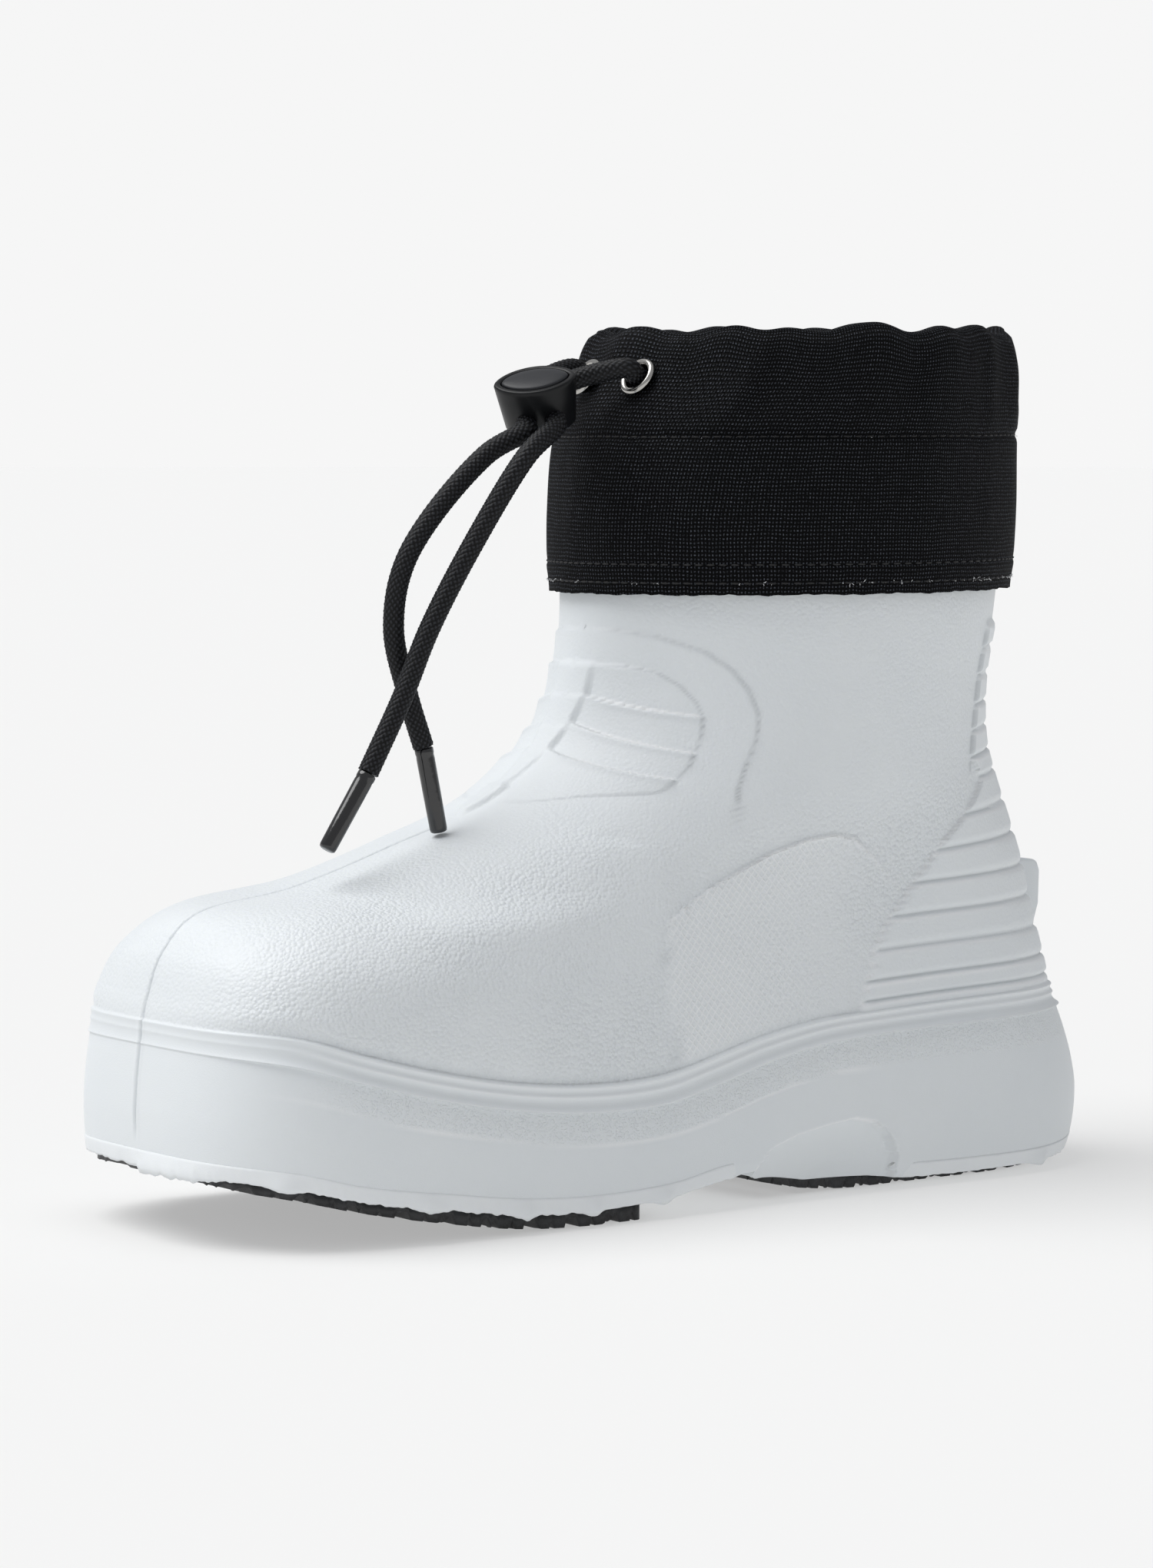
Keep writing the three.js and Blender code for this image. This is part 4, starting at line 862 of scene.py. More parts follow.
def woven_canvas(settings):
    """Black polyester canvas in plain weave: dull threads, with a painted highlight on their crowns."""
    material, tree, shader = new_material("Plain-woven canvas")
    spot = add(tree, "ShaderNodeUVMap", uv_map="surface").outputs[0]  # millimetres on the cloth
    wander = clouds(tree, spot, 0.09)
    sway = add(tree, "ShaderNodeVectorMath", {0: wander.outputs["Color"], "Scale": 1.1}, operation="SCALE")
    spot = add(tree, "ShaderNodeVectorMath", {0: spot, 1: sway}, operation="ADD")
    pitch = (settings.warp_pitch, settings.weft_pitch, 1)
    cell = add(tree, "ShaderNodeVectorMath", {0: spot, 1: pitch}, operation="DIVIDE")
    whole = add(tree, "ShaderNodeVectorMath", {0: cell}, operation="FLOOR")
    part = add(tree, "ShaderNodeVectorMath", {0: cell}, operation="FRACTION")
    swing = add(tree, "ShaderNodeVectorMath", {0: part, "Scale": math.pi}, operation="SCALE")
    crown = add(tree, "ShaderNodeVectorMath", {0: swing}, operation="SINE")
    warp_weft = add(tree, "ShaderNodeSeparateXYZ", {0: crown})
    count = add(tree, "ShaderNodeVectorMath", {0: whole, 1: (0.5, 0.5, 0)}, operation="DOT_PRODUCT")
    over = sums(tree, "FRACT", count.outputs["Value"])
    over = sums(tree, "GREATER_THAN", over, 0.25)
    threads = []
    for top, along_ in (("X", "Y"), ("Y", "X")):
        bow = sums(tree, "MULTIPLY_ADD", warp_weft.outputs[along_], 0.5, 0.5)
        threads.append(sums(tree, "MULTIPLY", warp_weft.outputs[top], bow))
    height = add(tree, "ShaderNodeMix", {"Factor": over, "A": threads[0], "B": threads[1]})
    height = height.outputs["Result"]
    fibre = clouds(tree, spot, 3.2, 3)
    relief = sums(tree, "MULTIPLY_ADD", fibre, 0.35, height)
    bump = bumps(tree, relief, 0.3 * MM)
    # the thread crowns get a painted highlight in a lighter grey; the crossings between them stay black
    crest = ramp(tree, height, 0.68, 1.0)
    patch = ramp(tree, fibre, 0.42, 0.66, 0.1, 1.3)
    crest = sums(tree, "MULTIPLY", crest, patch)
    tint = tinted(tree, crest, linear(settings.canvas_color), linear(settings.canvas_crown_highlight))
    connect(tree, shader, Base_Color=tint, Normal=bump, Roughness=0.72, Specular_IOR_Level=0.08)
    return material


def braided_cord(settings):
    """Black polyester braid: smooth round strands with a faint silky shine, and painted highlights on the
    strands' crowns.
    """
    material, tree, shader = new_material("Braided polyester")
    spot = add(tree, "ShaderNodeUVMap", uv_map="surface").outputs[0]
    fibre = clouds(tree, spot, 2.5)
    tall = attribute(tree, "strand")
    # the strands' crowns are painted lighter as a highlight, and the gaps between them near black as
    # painted shade
    tall = ramp(tree, tall, 0.5, 1.0)
    tint = tinted(tree, tall, linear(BRAID_GAP_SHADE), linear(settings.braid_crown_highlight))
    bump = bumps(tree, fibre, 0.05 * MM)
    connect(tree, shader, Base_Color=tint, Normal=bump, Roughness=0.5, Specular_IOR_Level=0.25)
    return material


def plain_finish(name, code, roughness, metallic=0.0, grit=0.3, depth=0.01, gleam=0.5):
    """A hard moulded or plated finish with the faint unevenness of its making."""
    material, tree, shader = new_material(name)
    place = add(tree, "ShaderNodeTexCoord").outputs["Object"]
    cloud = clouds(tree, place, 1 / (grit * MM))
    gloss = ramp(tree, cloud, bottom=roughness * 0.85, top=roughness * 1.15)
    bump = bumps(tree, cloud, depth * MM)
    connect(tree, shader, Roughness=gloss, Normal=bump, Base_Color=linear(code), Metallic=metallic,
            Specular_IOR_Level=gleam)
    return material


# ---- the pieces ----
def spread(start, stop, count):
    return list(np.linspace(start, stop, count + 1)[1:])


def shell_rows():
    rows = [0, 0.3, 0.6, 0.8, 0.9, 0.96, 0.99, 1]
    rows += [1 + q for q in (0.008, 0.02, 0.04, 0.07)] + spread(1.07, 1.96, 24) + [1.985, 2]
    rows += [2 + f for f in (0.03, 0.06, 0.1, 0.16, 0.24, 0.34, 0.44, 0.52, 0.57, 0.61, 0.65, 0.7, 0.78,
                             0.86, 0.92, 0.95, 0.98, 1)]
    rows += spread(3, 13, SHELL_ROWS)
    rows += [13.2, 13.5, 13.8, 14] + spread(14, 24, 14) + spread(24, 25, 5) + [25.4, 25.8, 26]
    return rows


def heel_tab(bm):
    """The kick tab: a block with rounded edges that leans out from the heel."""
    foot = upper_point(np.array([1.0]), np.array([1.15]))[0] + ORIGIN
    root = 1.5 * WALL
    profile = [(-root, 0), (0.2, 0), (0.62, 0.45), (0.66, 0.84), (0.55, 0.95), (0.35, 0.98), (-root, 1)]
    half = TAB_WIDTH / 2
    verts = [
        bm.verts.new(((foot[0] - half) * MM,
                      (foot[1] - 1 + (y if y < 0 else y * TAB_REACH)) * MM,
                      (foot[2] + z * TAB_HEIGHT) * MM))
        for y, z in profile
    ]
    face = bm.faces.new(verts)
    made = bmesh.ops.extrude_face_region(bm, geom=[face])
    moved = [g for g in made["geom"] if isinstance(g, bmesh.types.BMVert)]
    bmesh.ops.translate(bm, verts=moved, vec=(TAB_WIDTH * MM, 0, 0))
    block = set(verts) | set(moved)
    edges = [e for e in bm.edges if e.verts[0] in block and e.verts[1] in block]
    bmesh.ops.recalc_face_normals(bm, faces=[f for f in bm.faces if f.verts[0] in block])
    bmesh.ops.bevel(bm, geom=edges, offset=1.3 * MM, offset_type="OFFSET", segments=4, profile=0.5,
                    affect="EDGES", material=-1, clamp_overlap=True)


def wall_skin(at, q):
    """The sole wall with its scoop, where the foam's edge comes lower."""
    base = wall_point(at, q)
    depth = notch_depth(at, base[:, 2])
    base[:, 0] -= np.sign(at) * depth
    room = np.clip(foam_edge(along(np.abs(at))) - 3.6, 0, SCOOP_DROP)
    base[:, 2] -= room * np.clip(depth / 4, 0, 1) * (1 - np.clip(q / 0.25, 0, 1)) ** 2
    return base


def flash_place(at, p):
    """The moulding flash: a thin ragged lip that stands proud of the foam's bottom edge."""
    s = along(np.abs(at))
    ragged = 0.5 + 0.5 * ripple(at, (0.3, 1.9, 4.0, 2.2), (91, 157, 263, 31), (0.4, 0.35, 0.3, 0.3))
    ragged = np.clip(ragged, 0, 1.6) * (0.55 + 0.45 * ripple(at, (1.2, 0.4), (7, 12), (0.6, 0.5)))
    y = sole_y(s)
    lump = sum(line(y - spot, wide) * (at * side > 0) for spot, wide, side in FLASH_LUMPS)
    fade = 1 - step(0.5, 0.53, s) * step(0.735, 0.7, s)
    i = np.round(p).astype(int) % len(FLASH)
    lift, out, drop = np.array(FLASH)[i].T
    room = rand_low(s) - foam_edge(s)
    base = wall_skin(at, np.clip(lift, 0, 9) / room)
    side = outline(level(0), at, 1) - outline(level(0), at, 0)
    side[:, 2] = 0
    thick = mix(-0.5, out + (0.3 * ragged + 1.1 * lump) * (drop > 0), fade)
    xyz = base + unit(side) * thick[:, None]
    calmer = mix(1, 0.45, step(0.7, 0.76, s))  # at the heel
    xyz[:, 2] += np.minimum(lift, 0) - drop * (0.9 * ragged * calmer + 1.1 * lump) * fade
    zeros = np.zeros(len(at))
    # the flash is painted a little lighter with the painted highlight colour
    return xyz, {"grain": zeros, "stipple": zeros, "hatch": zeros, "painted_shade_and_highlight": zeros - 0.3}


class BOOT_OT_shell(bpy.types.Operator):
    """Mould the shell: upper, shaft and sole wall in one skin"""

    bl_idname = "boot.shell"
    bl_label = "Shell"

    def execute(self, context):
        settings = context.scene.boot_shell
        fine = [n * f for n in (-1, 1) for f in (5e-5, 1.5e-4, 3e-4, 7e-4, 1.3e-3, 2.2e-3, 3.5e-3, 5.5e-3)]
        columns = sorted([*np.linspace(-1, 1, SHELL_COLUMNS), *fine])
        bm = flat_sheet(columns, shell_rows())
        refine(bm, [
            (0.006, 0.43, 8.75, 12.05), (0.6, 0.8, 3, 8.4), (0.44, 0.66, 5.7, 7.6),
            (0.5, 0.68, 0.9, 1.75), (0.5, 0.56, 0.95, 1.75), (0.62, 0.68, 0.95, 1.75),
            (0.55, 0.63, 1.3, 1.75), (0.73, 0.77, 8.3, 11.8),
        ])
        wrapped(bm, shell_place)
        heel_tab(bm)
        foam = moulded_foam(settings)
        add_piece("boot_shell", bm, foam, ["shell"])
        bm = flat_sheet(list(np.linspace(-1, 1, FLASH_COLUMNS)), list(range(len(FLASH) + 1)))
        add_piece("moulding_flash", wrapped(bm, flash_place), foam)
        return {"FINISHED"}


def tread_place(start, stop, margin):
    """A tread's underside: rows along the foot and columns across it, with chevron lugs."""
    first, last = start / STATIONS, stop / STATIONS
    y0 = wall_point(np.array([first]), 0)[0, 1]
    y1 = wall_point(np.array([last]), 0)[0, 1]

    def place(k, u):
        t = k / STATIONS
        outer, inner = wall_point(t, 0 * t), wall_point(-t, 0 * t)
        y = outer[:, 1]
        middle = (outer[:, 0] + inner[:, 0]) / 2
        ends = np.minimum(y - y0, y1 - y)
        half = (outer[:, 0] - inner[:, 0]) / 2 - margin
        half = np.maximum(half * (0.85 + 0.15 * step(0, 6, ends)), 2)
        s = (y - LEVELS[0][1]) / (LEVELS[0][3] - LEVELS[0][1])
        low = ground(s)
        top = outer[:, 2] - CLEAR
        sheet = np.minimum(top - 0.8, low + np.minimum(LUG_DEPTH * 1.5, 0.6 * (top - low)))
        count = np.floor((y1 - y0) / LUG_PITCH)
        offset = (y1 - y0 - count * LUG_PITCH) / 2
        wide = np.abs(u)
        slant = np.where(wide > 0.32, np.sign(u) * (wide - 0.66) * 0.35, 0)
        phase = ((y - y0 - offset) / LUG_PITCH - slant) % 1
        lane = np.maximum(step(0.33, 0.36, wide) * step(0.985, 0.97, wide), step(0.3, 0.27, wide))
        edge_lug = (phase * 2 + 0.3 * np.floor(2 * phase)) % 1
        edge_lug = step(0.2, 0.28, edge_lug) * step(0.92, 0.84, edge_lug)
        lug = step(0.12, 0.17, phase) * step(0.88, 0.83, phase) * lane
        lug = np.where(wide > 0.86, edge_lug, lug)
        inside = step(-0.5, 0.6, ends - 1)
        z = mix(sheet, low, lug * inside)
        return np.stack([middle + u * half, y, z], axis=-1), top

    return place


class BOOT_OT_treads(bpy.types.Operator):
    """Press the two rubber treads with their lugs"""

    bl_idname = "boot.treads"
    bl_label = "Treads"

    def execute(self, context):
        rubber = tread_rubber(context.scene.boot_shell)
        for name, start, stop, margin in (
            ("forefoot_tread", 1.5, 9.13, TREAD_MARGIN),
            ("heel_tread", 10.7, 17.6, HEEL_TREAD_MARGIN),
        ):
            place = tread_place(start, stop, margin)
            y = wall_point(np.linspace(start, stop, 400) / STATIONS, 0)[:, 1]
            even = np.interp(np.linspace(y[0], y[-1], TREAD_ROWS), y, np.linspace(start, stop, 400))
            bm = flat_sheet(list(even), list(np.linspace(-1, 1, TREAD_COLUMNS)))
            flat = np.array([v.co[:2] for v in bm.verts])
            under, top = place(flat[:, 0], flat[:, 1])
            made = bmesh.ops.extrude_face_region(bm, geom=bm.faces[:])
            lid = [g for g in made["geom"] if isinstance(g, bmesh.types.BMVert)]
            bm.verts.index_update()
            tops = {(round(a, 5), round(b, 5)): i for i, (a, b) in enumerate(flat)}
            for v in lid:
                i = tops[(round(v.co.x, 5), round(v.co.y, 5))]
                v.co = (np.array([under[i, 0], under[i, 1], top[i]]) + ORIGIN) * MM
            lid = set(lid)
            for i, v in enumerate([v for v in bm.verts if v not in lid]):
                v.co = (under[i] + ORIGIN) * MM
            bmesh.ops.recalc_face_normals(bm, faces=bm.faces)
            add_piece("black_" + name, bm, rubber, [name])
        return {"FINISHED"}


class BOOT_OT_insole(bpy.types.Operator):
    """Lay in the felt footbed"""

    bl_idname = "boot.insole"
    bl_label = "Footbed"

    def execute(self, context):
        # height above the floor and inset of each ring, then the top closes on the middle line
        rings = [(0, 0.4, 1), (CLEAR, 0.1, 1), (1, 0, 1), (2.4, 0, 1), (3.6, 0.4, 1), (4.2, 1.4, 1)]
        top = INSOLE_THICK + CLEAR
        rings += [(top, 3, 1), (top, 0, 0.6), (top, 0, 0.3), (top, 0, 0)]
        rings = [(0.3, 0, 0), (0.3, 0, 0.5)] + rings

        def place(at, p):
            lift, inset, keep = (np.interp(p, range(len(rings)), column) for column in zip(*rings))
            ring = drawn_in(outline(level(0), at, -FLOOR_MARGIN - CLEAR - inset), keep)
            ring[:, 2] = floor_at(along(np.abs(at))) + lift
            return ring, {}

        bm = flat_sheet(list(np.linspace(-1, 1, INSOLE_COLUMNS)), list(range(len(rings))))
        wrapped(bm, place)
        add_piece("felt_insole", bm, needled_felt(), ["insole"])
        return {"FINISHED"}


def ripple(at, phases, counts, shares):
    """A sum of waves round the cuff."""
    return sum(w * np.sin(n * np.pi * at + f) for f, n, w in zip(phases, counts, shares))


def cuff_place(settings):
    def place(at, p):
        # p: 0 to 1 up the outside, 1 to 2 over the top, 2 to 3 down the inside, 3 to 4 under the hem
        outside = p <= 1
        up = np.where(outside, p, np.where(p <= 2, 1, np.where(p <= 3, 3 - p, 0)))
        face = smooth(CUFF_OUTSIDE, 1, up)
        hem = step(0.105, 0.095, up) * 0.45
        sewn = -0.75 * line((up - SEAM_LEVEL) * CUFF_HEIGHT, 1)
        channel = step(SEAM_LEVEL, 0.8, up)
        folds = ripple(at, (0.4, 2.1, 1.0, 4.0), (11, 18, 27, 41), (0.4, 0.32, 0.16, 0.07))
        folds = folds * settings.gather * (0.25 + 0.75 * channel) * step(0.0, 0.35, up)
        soft = ripple(at, (1.0, 0.2), (5, 9), (0.5, 0.35)) * step(0.02, 0.4, up) * 0.8
        bulge = -1.0 * channel - 0.9 * step(0.16, 0.0, up)
        bulge = bulge + 0.8 * step(0.4, 0.1, np.abs(at)) * step(0.8, 0.95, up)
        out = face + hem + sewn + folds + soft * 0.6 + bulge
        hem_face = out
        thick = mix(CUFF_WALL, CHANNEL_THICK - CHANNEL_FACE, step(0.62, 0.72, up))
        turn = np.clip(p - 1, 0, 1)
        out = np.where(p > 1, mix(out, -thick, np.where(p <= 2, (1 - np.cos(np.pi * turn)) / 2, 1)), out)
        under = np.clip(p - 3, 0, 1)
        out = np.where(p > 3, mix(np.full_like(out, -CUFF_WALL), hem_face, under), out)
        xyz = cuff_point(at, up, 0) + cuff_normal(at, np.clip(up, 0.01, 0.99)) * out[:, None]
        crest = ripple(at, (2.6, 0.9, 3.0, 0.5), (9, 15, 21, 33), (0.75, 0.6, 0.2, 0.06))
        top = step(0.72, 1.0, up)
        xyz[:, 2] += crest * settings.gather * top + np.where(
            (p > 1) & (p <= 2), 1.6 * np.sin(np.pi * turn), 0)
        frayed = ripple(at, (0.3, 1.7, 0.2), (61, 97, 17), (0.1, 0.08, 0.12))
        xyz[:, 2] += frayed * step(0.05, 0.0, up)
        return xyz, {}

    return place


class BOOT_OT_cuff(bpy.types.Operator):
    """Sew the canvas cuff with its channel, hem and stitches"""

    bl_idname = "boot.cuff"
    bl_label = "Cuff"

    def execute(self, context):
        settings = context.scene.boot_cuff
        canvas = woven_canvas(settings)
        place = cuff_place(settings)
        rows = list(np.linspace(0, 1, CUFF_ROWS)) + spread(1, 2, 8) + spread(2, 3, 24) + spread(3, 4, 3)
        columns = np.linspace(-1, 1, CUFF_COLUMNS)
        ring = cuff_point(columns, np.full(CUFF_COLUMNS, 0.4), 0)
        lengths = np.r_[0, np.cumsum(np.linalg.norm(np.diff(ring, axis=0), axis=1))]
        heights = [0, CUFF_HEIGHT, CUFF_HEIGHT + CHANNEL_THICK, 2 * CUFF_HEIGHT + CHANNEL_THICK,
                   2 * CUFF_HEIGHT + CHANNEL_THICK + CUFF_WALL]

        def spots(at, p):
            return np.stack([np.interp(at, columns, lengths), np.interp(p, range(5), heights)], axis=-1)

        bm = wrapped(flat_sheet(list(columns), rows), place, spots)
        cuff = add_piece("canvas_cuff", bm, canvas, ["cuff"])
        stitches = self.stitches(place, lengths[-1], settings)
        fuzz = self.fuzz(place, settings)
        return {"FINISHED"}

    def stitches(self, place, around, settings):
        """Rows of lock stitches: two along the hem and one along the channel's seam."""
        bm = bmesh.new()
        for up, sink in ((0.045, 0.1), (0.115, 0.0), (SEAM_LEVEL, 0.05)):
            count = int(around / settings.stitch)
            spots = -1 + 2 * (np.arange(count) + 0.5) / count
            here, _ = place(spots, np.full(count, up))
            ahead, _ = place(wrap(spots + 0.004), np.full(count, up))
            normal = cuff_normal(spots, np.full(count, max(up, 0.02)))
            for point, forward, out in zip(here, unit(ahead - here), normal):
                x, z = Vector(forward), Vector(out)
                y = z.cross(x).normalized()
                turn = Matrix((x, y, x.cross(y))).transposed().to_4x4()
                turn.translation = Vector((point + ORIGIN - out * sink) * MM)
                size = Matrix.Diagonal((settings.stitch * 0.39 * MM, 0.28 * MM, 0.3 * MM, 1))
                bmesh.ops.create_uvsphere(bm, u_segments=8, v_segments=5, radius=1, matrix=turn @ size)
        thread = plain_finish("Bonded polyester thread", settings.thread_color, 0.6, grit=0.4, depth=0.05)
        return add_piece("cuff_stitches", bm, thread)

    def fuzz(self, place, settings):
        """Cut fibre ends that stand out of the hem's seam, and a loose thread at its end."""
        bm = bmesh.new()
        chance = np.random.default_rng(7)
        for n in range(FUZZ_COUNT):
            spot = np.array([chance.uniform(-1, 1)])
            if n < HEM_FUZZ:
                spot = np.array([chance.uniform(0.35, 0.85)])
            up = 0.045 + chance.normal(0, 0.003)
            if n > SEAM_FUZZ:
                up, spot = SEAM_LEVEL - 0.005, np.array([chance.uniform(0.1, 0.9)])
            point = place(spot, np.array([up]))[0][0]
            normal = cuff_normal(spot, np.array([0.05]))[0]
            lean = unit(normal * 0.5 + chance.normal(0, 0.7, 3) + [0, 0, -0.2])
            size = chance.uniform(0.35, 0.9)
            self.fibre(bm, point, lean, size, chance)
        end = place(np.array([0.93]), np.array([0.04]))[0][0]
        for lean in ((0.5, 0.6, -0.5), (0.6, 0.75, 0.1), (0.3, 0.9, -0.2)):
            self.fibre(bm, end, unit(np.array(lean)), 3.6, chance)
        white = plain_finish("Cut polyester fibre", settings.fuzz_color, 0.7, grit=0.4, depth=0.01)
        return add_piece("hem_fuzz", bm, white)

    def fibre(self, bm, point, lean, size, chance):
        bow = unit(np.cross(lean, chance.normal(0, 1, 3)))
        knots = [
            Vector((point + lean * size * f + bow * size * 0.35 * math.sin(2.6 * f) + ORIGIN) * MM)
            for f in (-0.2, 0.3, 0.65, 1)
        ]
        for a, b in zip(knots, knots[1:]):
            turn = stand(b - a, (a + b) / 2)
            bmesh.ops.create_cone(bm, cap_ends=True, segments=5, radius1=0.075 * MM, radius2=0.06 * MM,
                                  depth=(b - a).length * 1.05, matrix=turn)


def eyelet_place(side):
    up = np.array([EYELET_LEVEL / CUFF_HEIGHT])
    low, high = 0.0, 0.4
    for _ in range(30):
        middle = (low + high) / 2
        if abs(cuff_point(np.array([side * middle]), up, CHANNEL_FACE)[0, 0]) < EYELET_SPREAD:
            low = middle
        else:
            high = middle
    at = np.array([side * low])
    return at, cuff_point(at, up, CHANNEL_FACE)[0], cuff_normal(at, up)[0]


class BOOT_OT_eyelets(bpy.types.Operator):
    """Press the two nickel eyelets into the channel"""

    bl_idname = "boot.eyelets"
    bl_label = "Eyelets"

    def execute(self, context):
        nickel = plain_finish("Nickel plate", context.scene.boot_cords.nickel_color, 0.16, 1.0, 0.8, 0.004)
        inner, outer = EYELET_BORE / 2 + 0.15, EYELET_OUTSIDE / 2 - 0.3
        middle, reach = (inner + outer) / 2, (outer - inner) / 2
        for name, side in (("lateral", 1), ("medial", -1)):
            _, centre, normal = eyelet_place(side)
            arc = np.linspace(0, math.pi, 13)
            crown = [(middle + reach * math.cos(a), 1.1 * math.sin(a)) for a in arc]
            ring = crown + [(inner, -1.6), (inner + 0.4, -1.6), (inner + 0.5, 0)]
            seat = Vector((centre + normal * EYELET_SEAT + ORIGIN) * MM)
            bm = spun(ring, 56, True, stand(Vector(normal), seat))
            add_piece("nickel_eyelet_" + name, bm, nickel, ["eyelet_" + name])
        return {"FINISHED"}


def lock_frame():
    """From the lock's own frame, long side X, cords along Y and button up Z, to the boot's."""
    turn = Matrix.Identity(4)
    for angle, axis in LOCK_TURNS:
        turn = turn @ Matrix.Rotation(math.radians(angle), 4, axis)
    turn.translation = Vector((np.array(LOCK_PLACE) + ORIGIN) * MM)
    return turn


def lens_loft(rows):
    """A stack of lens-shaped rings of (height, length, depth), closed at both ends."""
    bm = bmesh.new()
    ring = bmesh.ops.create_circle(bm, cap_ends=False, segments=96, radius=1)["verts"]
    for v in ring:
        a = math.atan2(v.co.y, v.co.x)
        v.co = (math.cos(a), math.copysign(abs(math.sin(a)) ** 1.25, math.sin(a)), 0)
    unit_lens = [v.co.copy() for v in ring]
    edges = list(bm.edges)
    for i, (z, length, depth) in enumerate(rows):
        if i:
            made = bmesh.ops.extrude_edge_only(bm, edges=edges)["geom"]
            ring = [g for g in made if isinstance(g, bmesh.types.BMVert)]
            edges = [g for g in made if isinstance(g, bmesh.types.BMEdge)]
        else:
            bmesh.ops.contextual_create(bm, geom=edges)
        ring = sorted(ring, key=lambda v: math.atan2(v.co.y, v.co.x))
        shape = sorted(unit_lens, key=lambda c: math.atan2(c.y, c.x))
        for v, c in zip(ring, shape):
            v.co = (c.x * length / 2 * MM, c.y * depth / 2 * MM, z * MM)
    bmesh.ops.contextual_create(bm, geom=edges)
    bmesh.ops.recalc_face_normals(bm, faces=bm.faces)
    return bm


class BOOT_OT_lock(bpy.types.Operator):
    """Mould the push-button cord lock"""

    bl_idname = "boot.lock"
    bl_label = "Cord lock"

    def execute(self, context):
        settings = context.scene.boot_cords
        plastic = plain_finish("Moulded black nylon", settings.lock_color, 0.34, grit=0.25,
                               depth=0.006, gleam=0.25)
        satin = plain_finish("Spark-eroded black nylon", settings.button_color, 0.4, grit=0.3,
                             depth=0.012, gleam=0.35)
        half, length, depth = LOCK_HEIGHT / 2, LOCK_LENGTH, LOCK_DEPTH
        pocket = half + 0.8 - BUTTON_THICK - BUTTON_TRAVEL - CLEAR
        rim = 2 * LOCK_RIM
        body = lens_loft([(z, length - a, depth - b) for z, a, b in (
            (-half, 4.6, 3.2), (-half + 0.25, 3.7, 2.4), (-half + 0.9, 3.0, 1.8), (half - 4, 0.9, 0.6),
            (half - 1.3, 0.2, 0.1), (half - 0.6, 0, 0), (half - 0.15, 0.3, 0.3), (half, 0.9, 0.9),
            (half, rim - 0.5, rim - 0.5), (half - 0.25, rim, rim), (pocket, rim, rim),
        )])
        trim = rim + 2 * CLEAR
        button = lens_loft([(half + z, length - trim - a, depth - trim - b) for z, a, b in (
            (0.8 - BUTTON_THICK, 0, 0), (-0.1, 0, 0), (0.15, 0.3, 0.3), (0.3, 1.0, 1.0),
            (0.45, 2.6, 2.3), (0.62, 6, 4.6), (0.7, 11, 7.5),
        )])
        place = lock_frame()
        for name, bm, material, part, ride in (
            ("lock_case", body, plastic, "cord_lock_body", "boot"),
            ("lock_push_button", button, satin, "cord_lock_button", "lock_button"),
        ):
            bmesh.ops.transform(bm, matrix=place, verts=bm.verts)
            piece = add_piece(name, bm, material, [part], ride)
            piece.data.set_sharp_from_angle(angle=math.radians(50))
        return {"FINISHED"}


def cord_points(side, fall):
    """The route's points, from inside the channel through eyelet and lock to the aglet."""
    at, centre, normal = eyelet_place(side)
    up = np.array([EYELET_LEVEL / CUFF_HEIGHT])
    deep, round_ = CHANNEL_THICK / 2, 4.3
    ahead = cuff_point(at + side * 0.01, up, CHANNEL_FACE)[0] - cuff_point(at, up, CHANNEL_FACE)[0]
    across = unit(ahead)
    points = []
    for gap in (0.14, 0.105, 0.07):
        spot = at + side * gap
        points.append(cuff_point(spot, up, CHANNEL_FACE)[0] - cuff_normal(spot, up)[0] * deep)
    for angle in (20, 50, 80):
        a = math.radians(angle)
        points.append(centre + across * round_ * (1 - math.sin(a))
                      + normal * (round_ * (1 - math.cos(a)) - deep))
    points += [centre + normal * 2, centre + normal * 5]
    place = lock_frame()
    for y in (LOCK_DEPTH / 2 + 4, LOCK_DEPTH / 2, 0, -LOCK_DEPTH / 2 + 0.4, -LOCK_DEPTH / 2 - 1.6):
        spot = place @ Vector((side * BORE_SPREAD * MM, y * MM, BORE_LEVEL * MM))
        points.append(np.array(spot) / MM - ORIGIN)
    return np.array(points + [np.array(p, float) for p in fall])


def route(points, gap):
    """A centripetal spline through the points, as even steps of about gap millimetres."""
    ends = np.vstack([2 * points[0] - points[1], points, 2 * points[-1] - points[-2]])
    dense = []
    for p0, p1, p2, p3 in zip(ends, ends[1:], ends[2:], ends[3:]):
        t0 = 0.0
        t1 = t0 + np.linalg.norm(p1 - p0) ** 0.5
        t2 = t1 + np.linalg.norm(p2 - p1) ** 0.5
        t3 = t2 + np.linalg.norm(p3 - p2) ** 0.5
        for t in np.linspace(t1, t2, 24, endpoint=False):
            a1 = mix(p0, p1, (t - t0) / (t1 - t0))
            a2 = mix(p1, p2, (t - t1) / (t2 - t1))
            a3 = mix(p2, p3, (t - t2) / (t3 - t2))
            b1, b2 = mix(a1, a2, (t - t0) / (t2 - t0)), mix(a2, a3, (t - t1) / (t3 - t1))
            dense.append(mix(b1, b2, (t - t1) / (t2 - t1)))
    dense = np.array(dense + [points[-1]])
    run = np.r_[0, np.cumsum(np.linalg.norm(np.diff(dense, axis=0), axis=1))]
    even = np.linspace(0, run[-1], int(run[-1] / gap) + 1)
    return np.stack([np.interp(even, run, dense[:, c]) for c in range(3)], axis=-1), run[-1]


def frames_along(path):
    """Two directions square to the path at each point, turning as little as they can."""
    forward = unit(np.gradient(path, axis=0))
    side = unit(np.cross(forward[0], [0.3, 0.2, 1]))
    sides = []
    for f in forward:
        side = unit(side - f * (side @ f))
        sides.append(side)
    sides = np.array(sides)
    return forward, sides, np.cross(forward, sides)


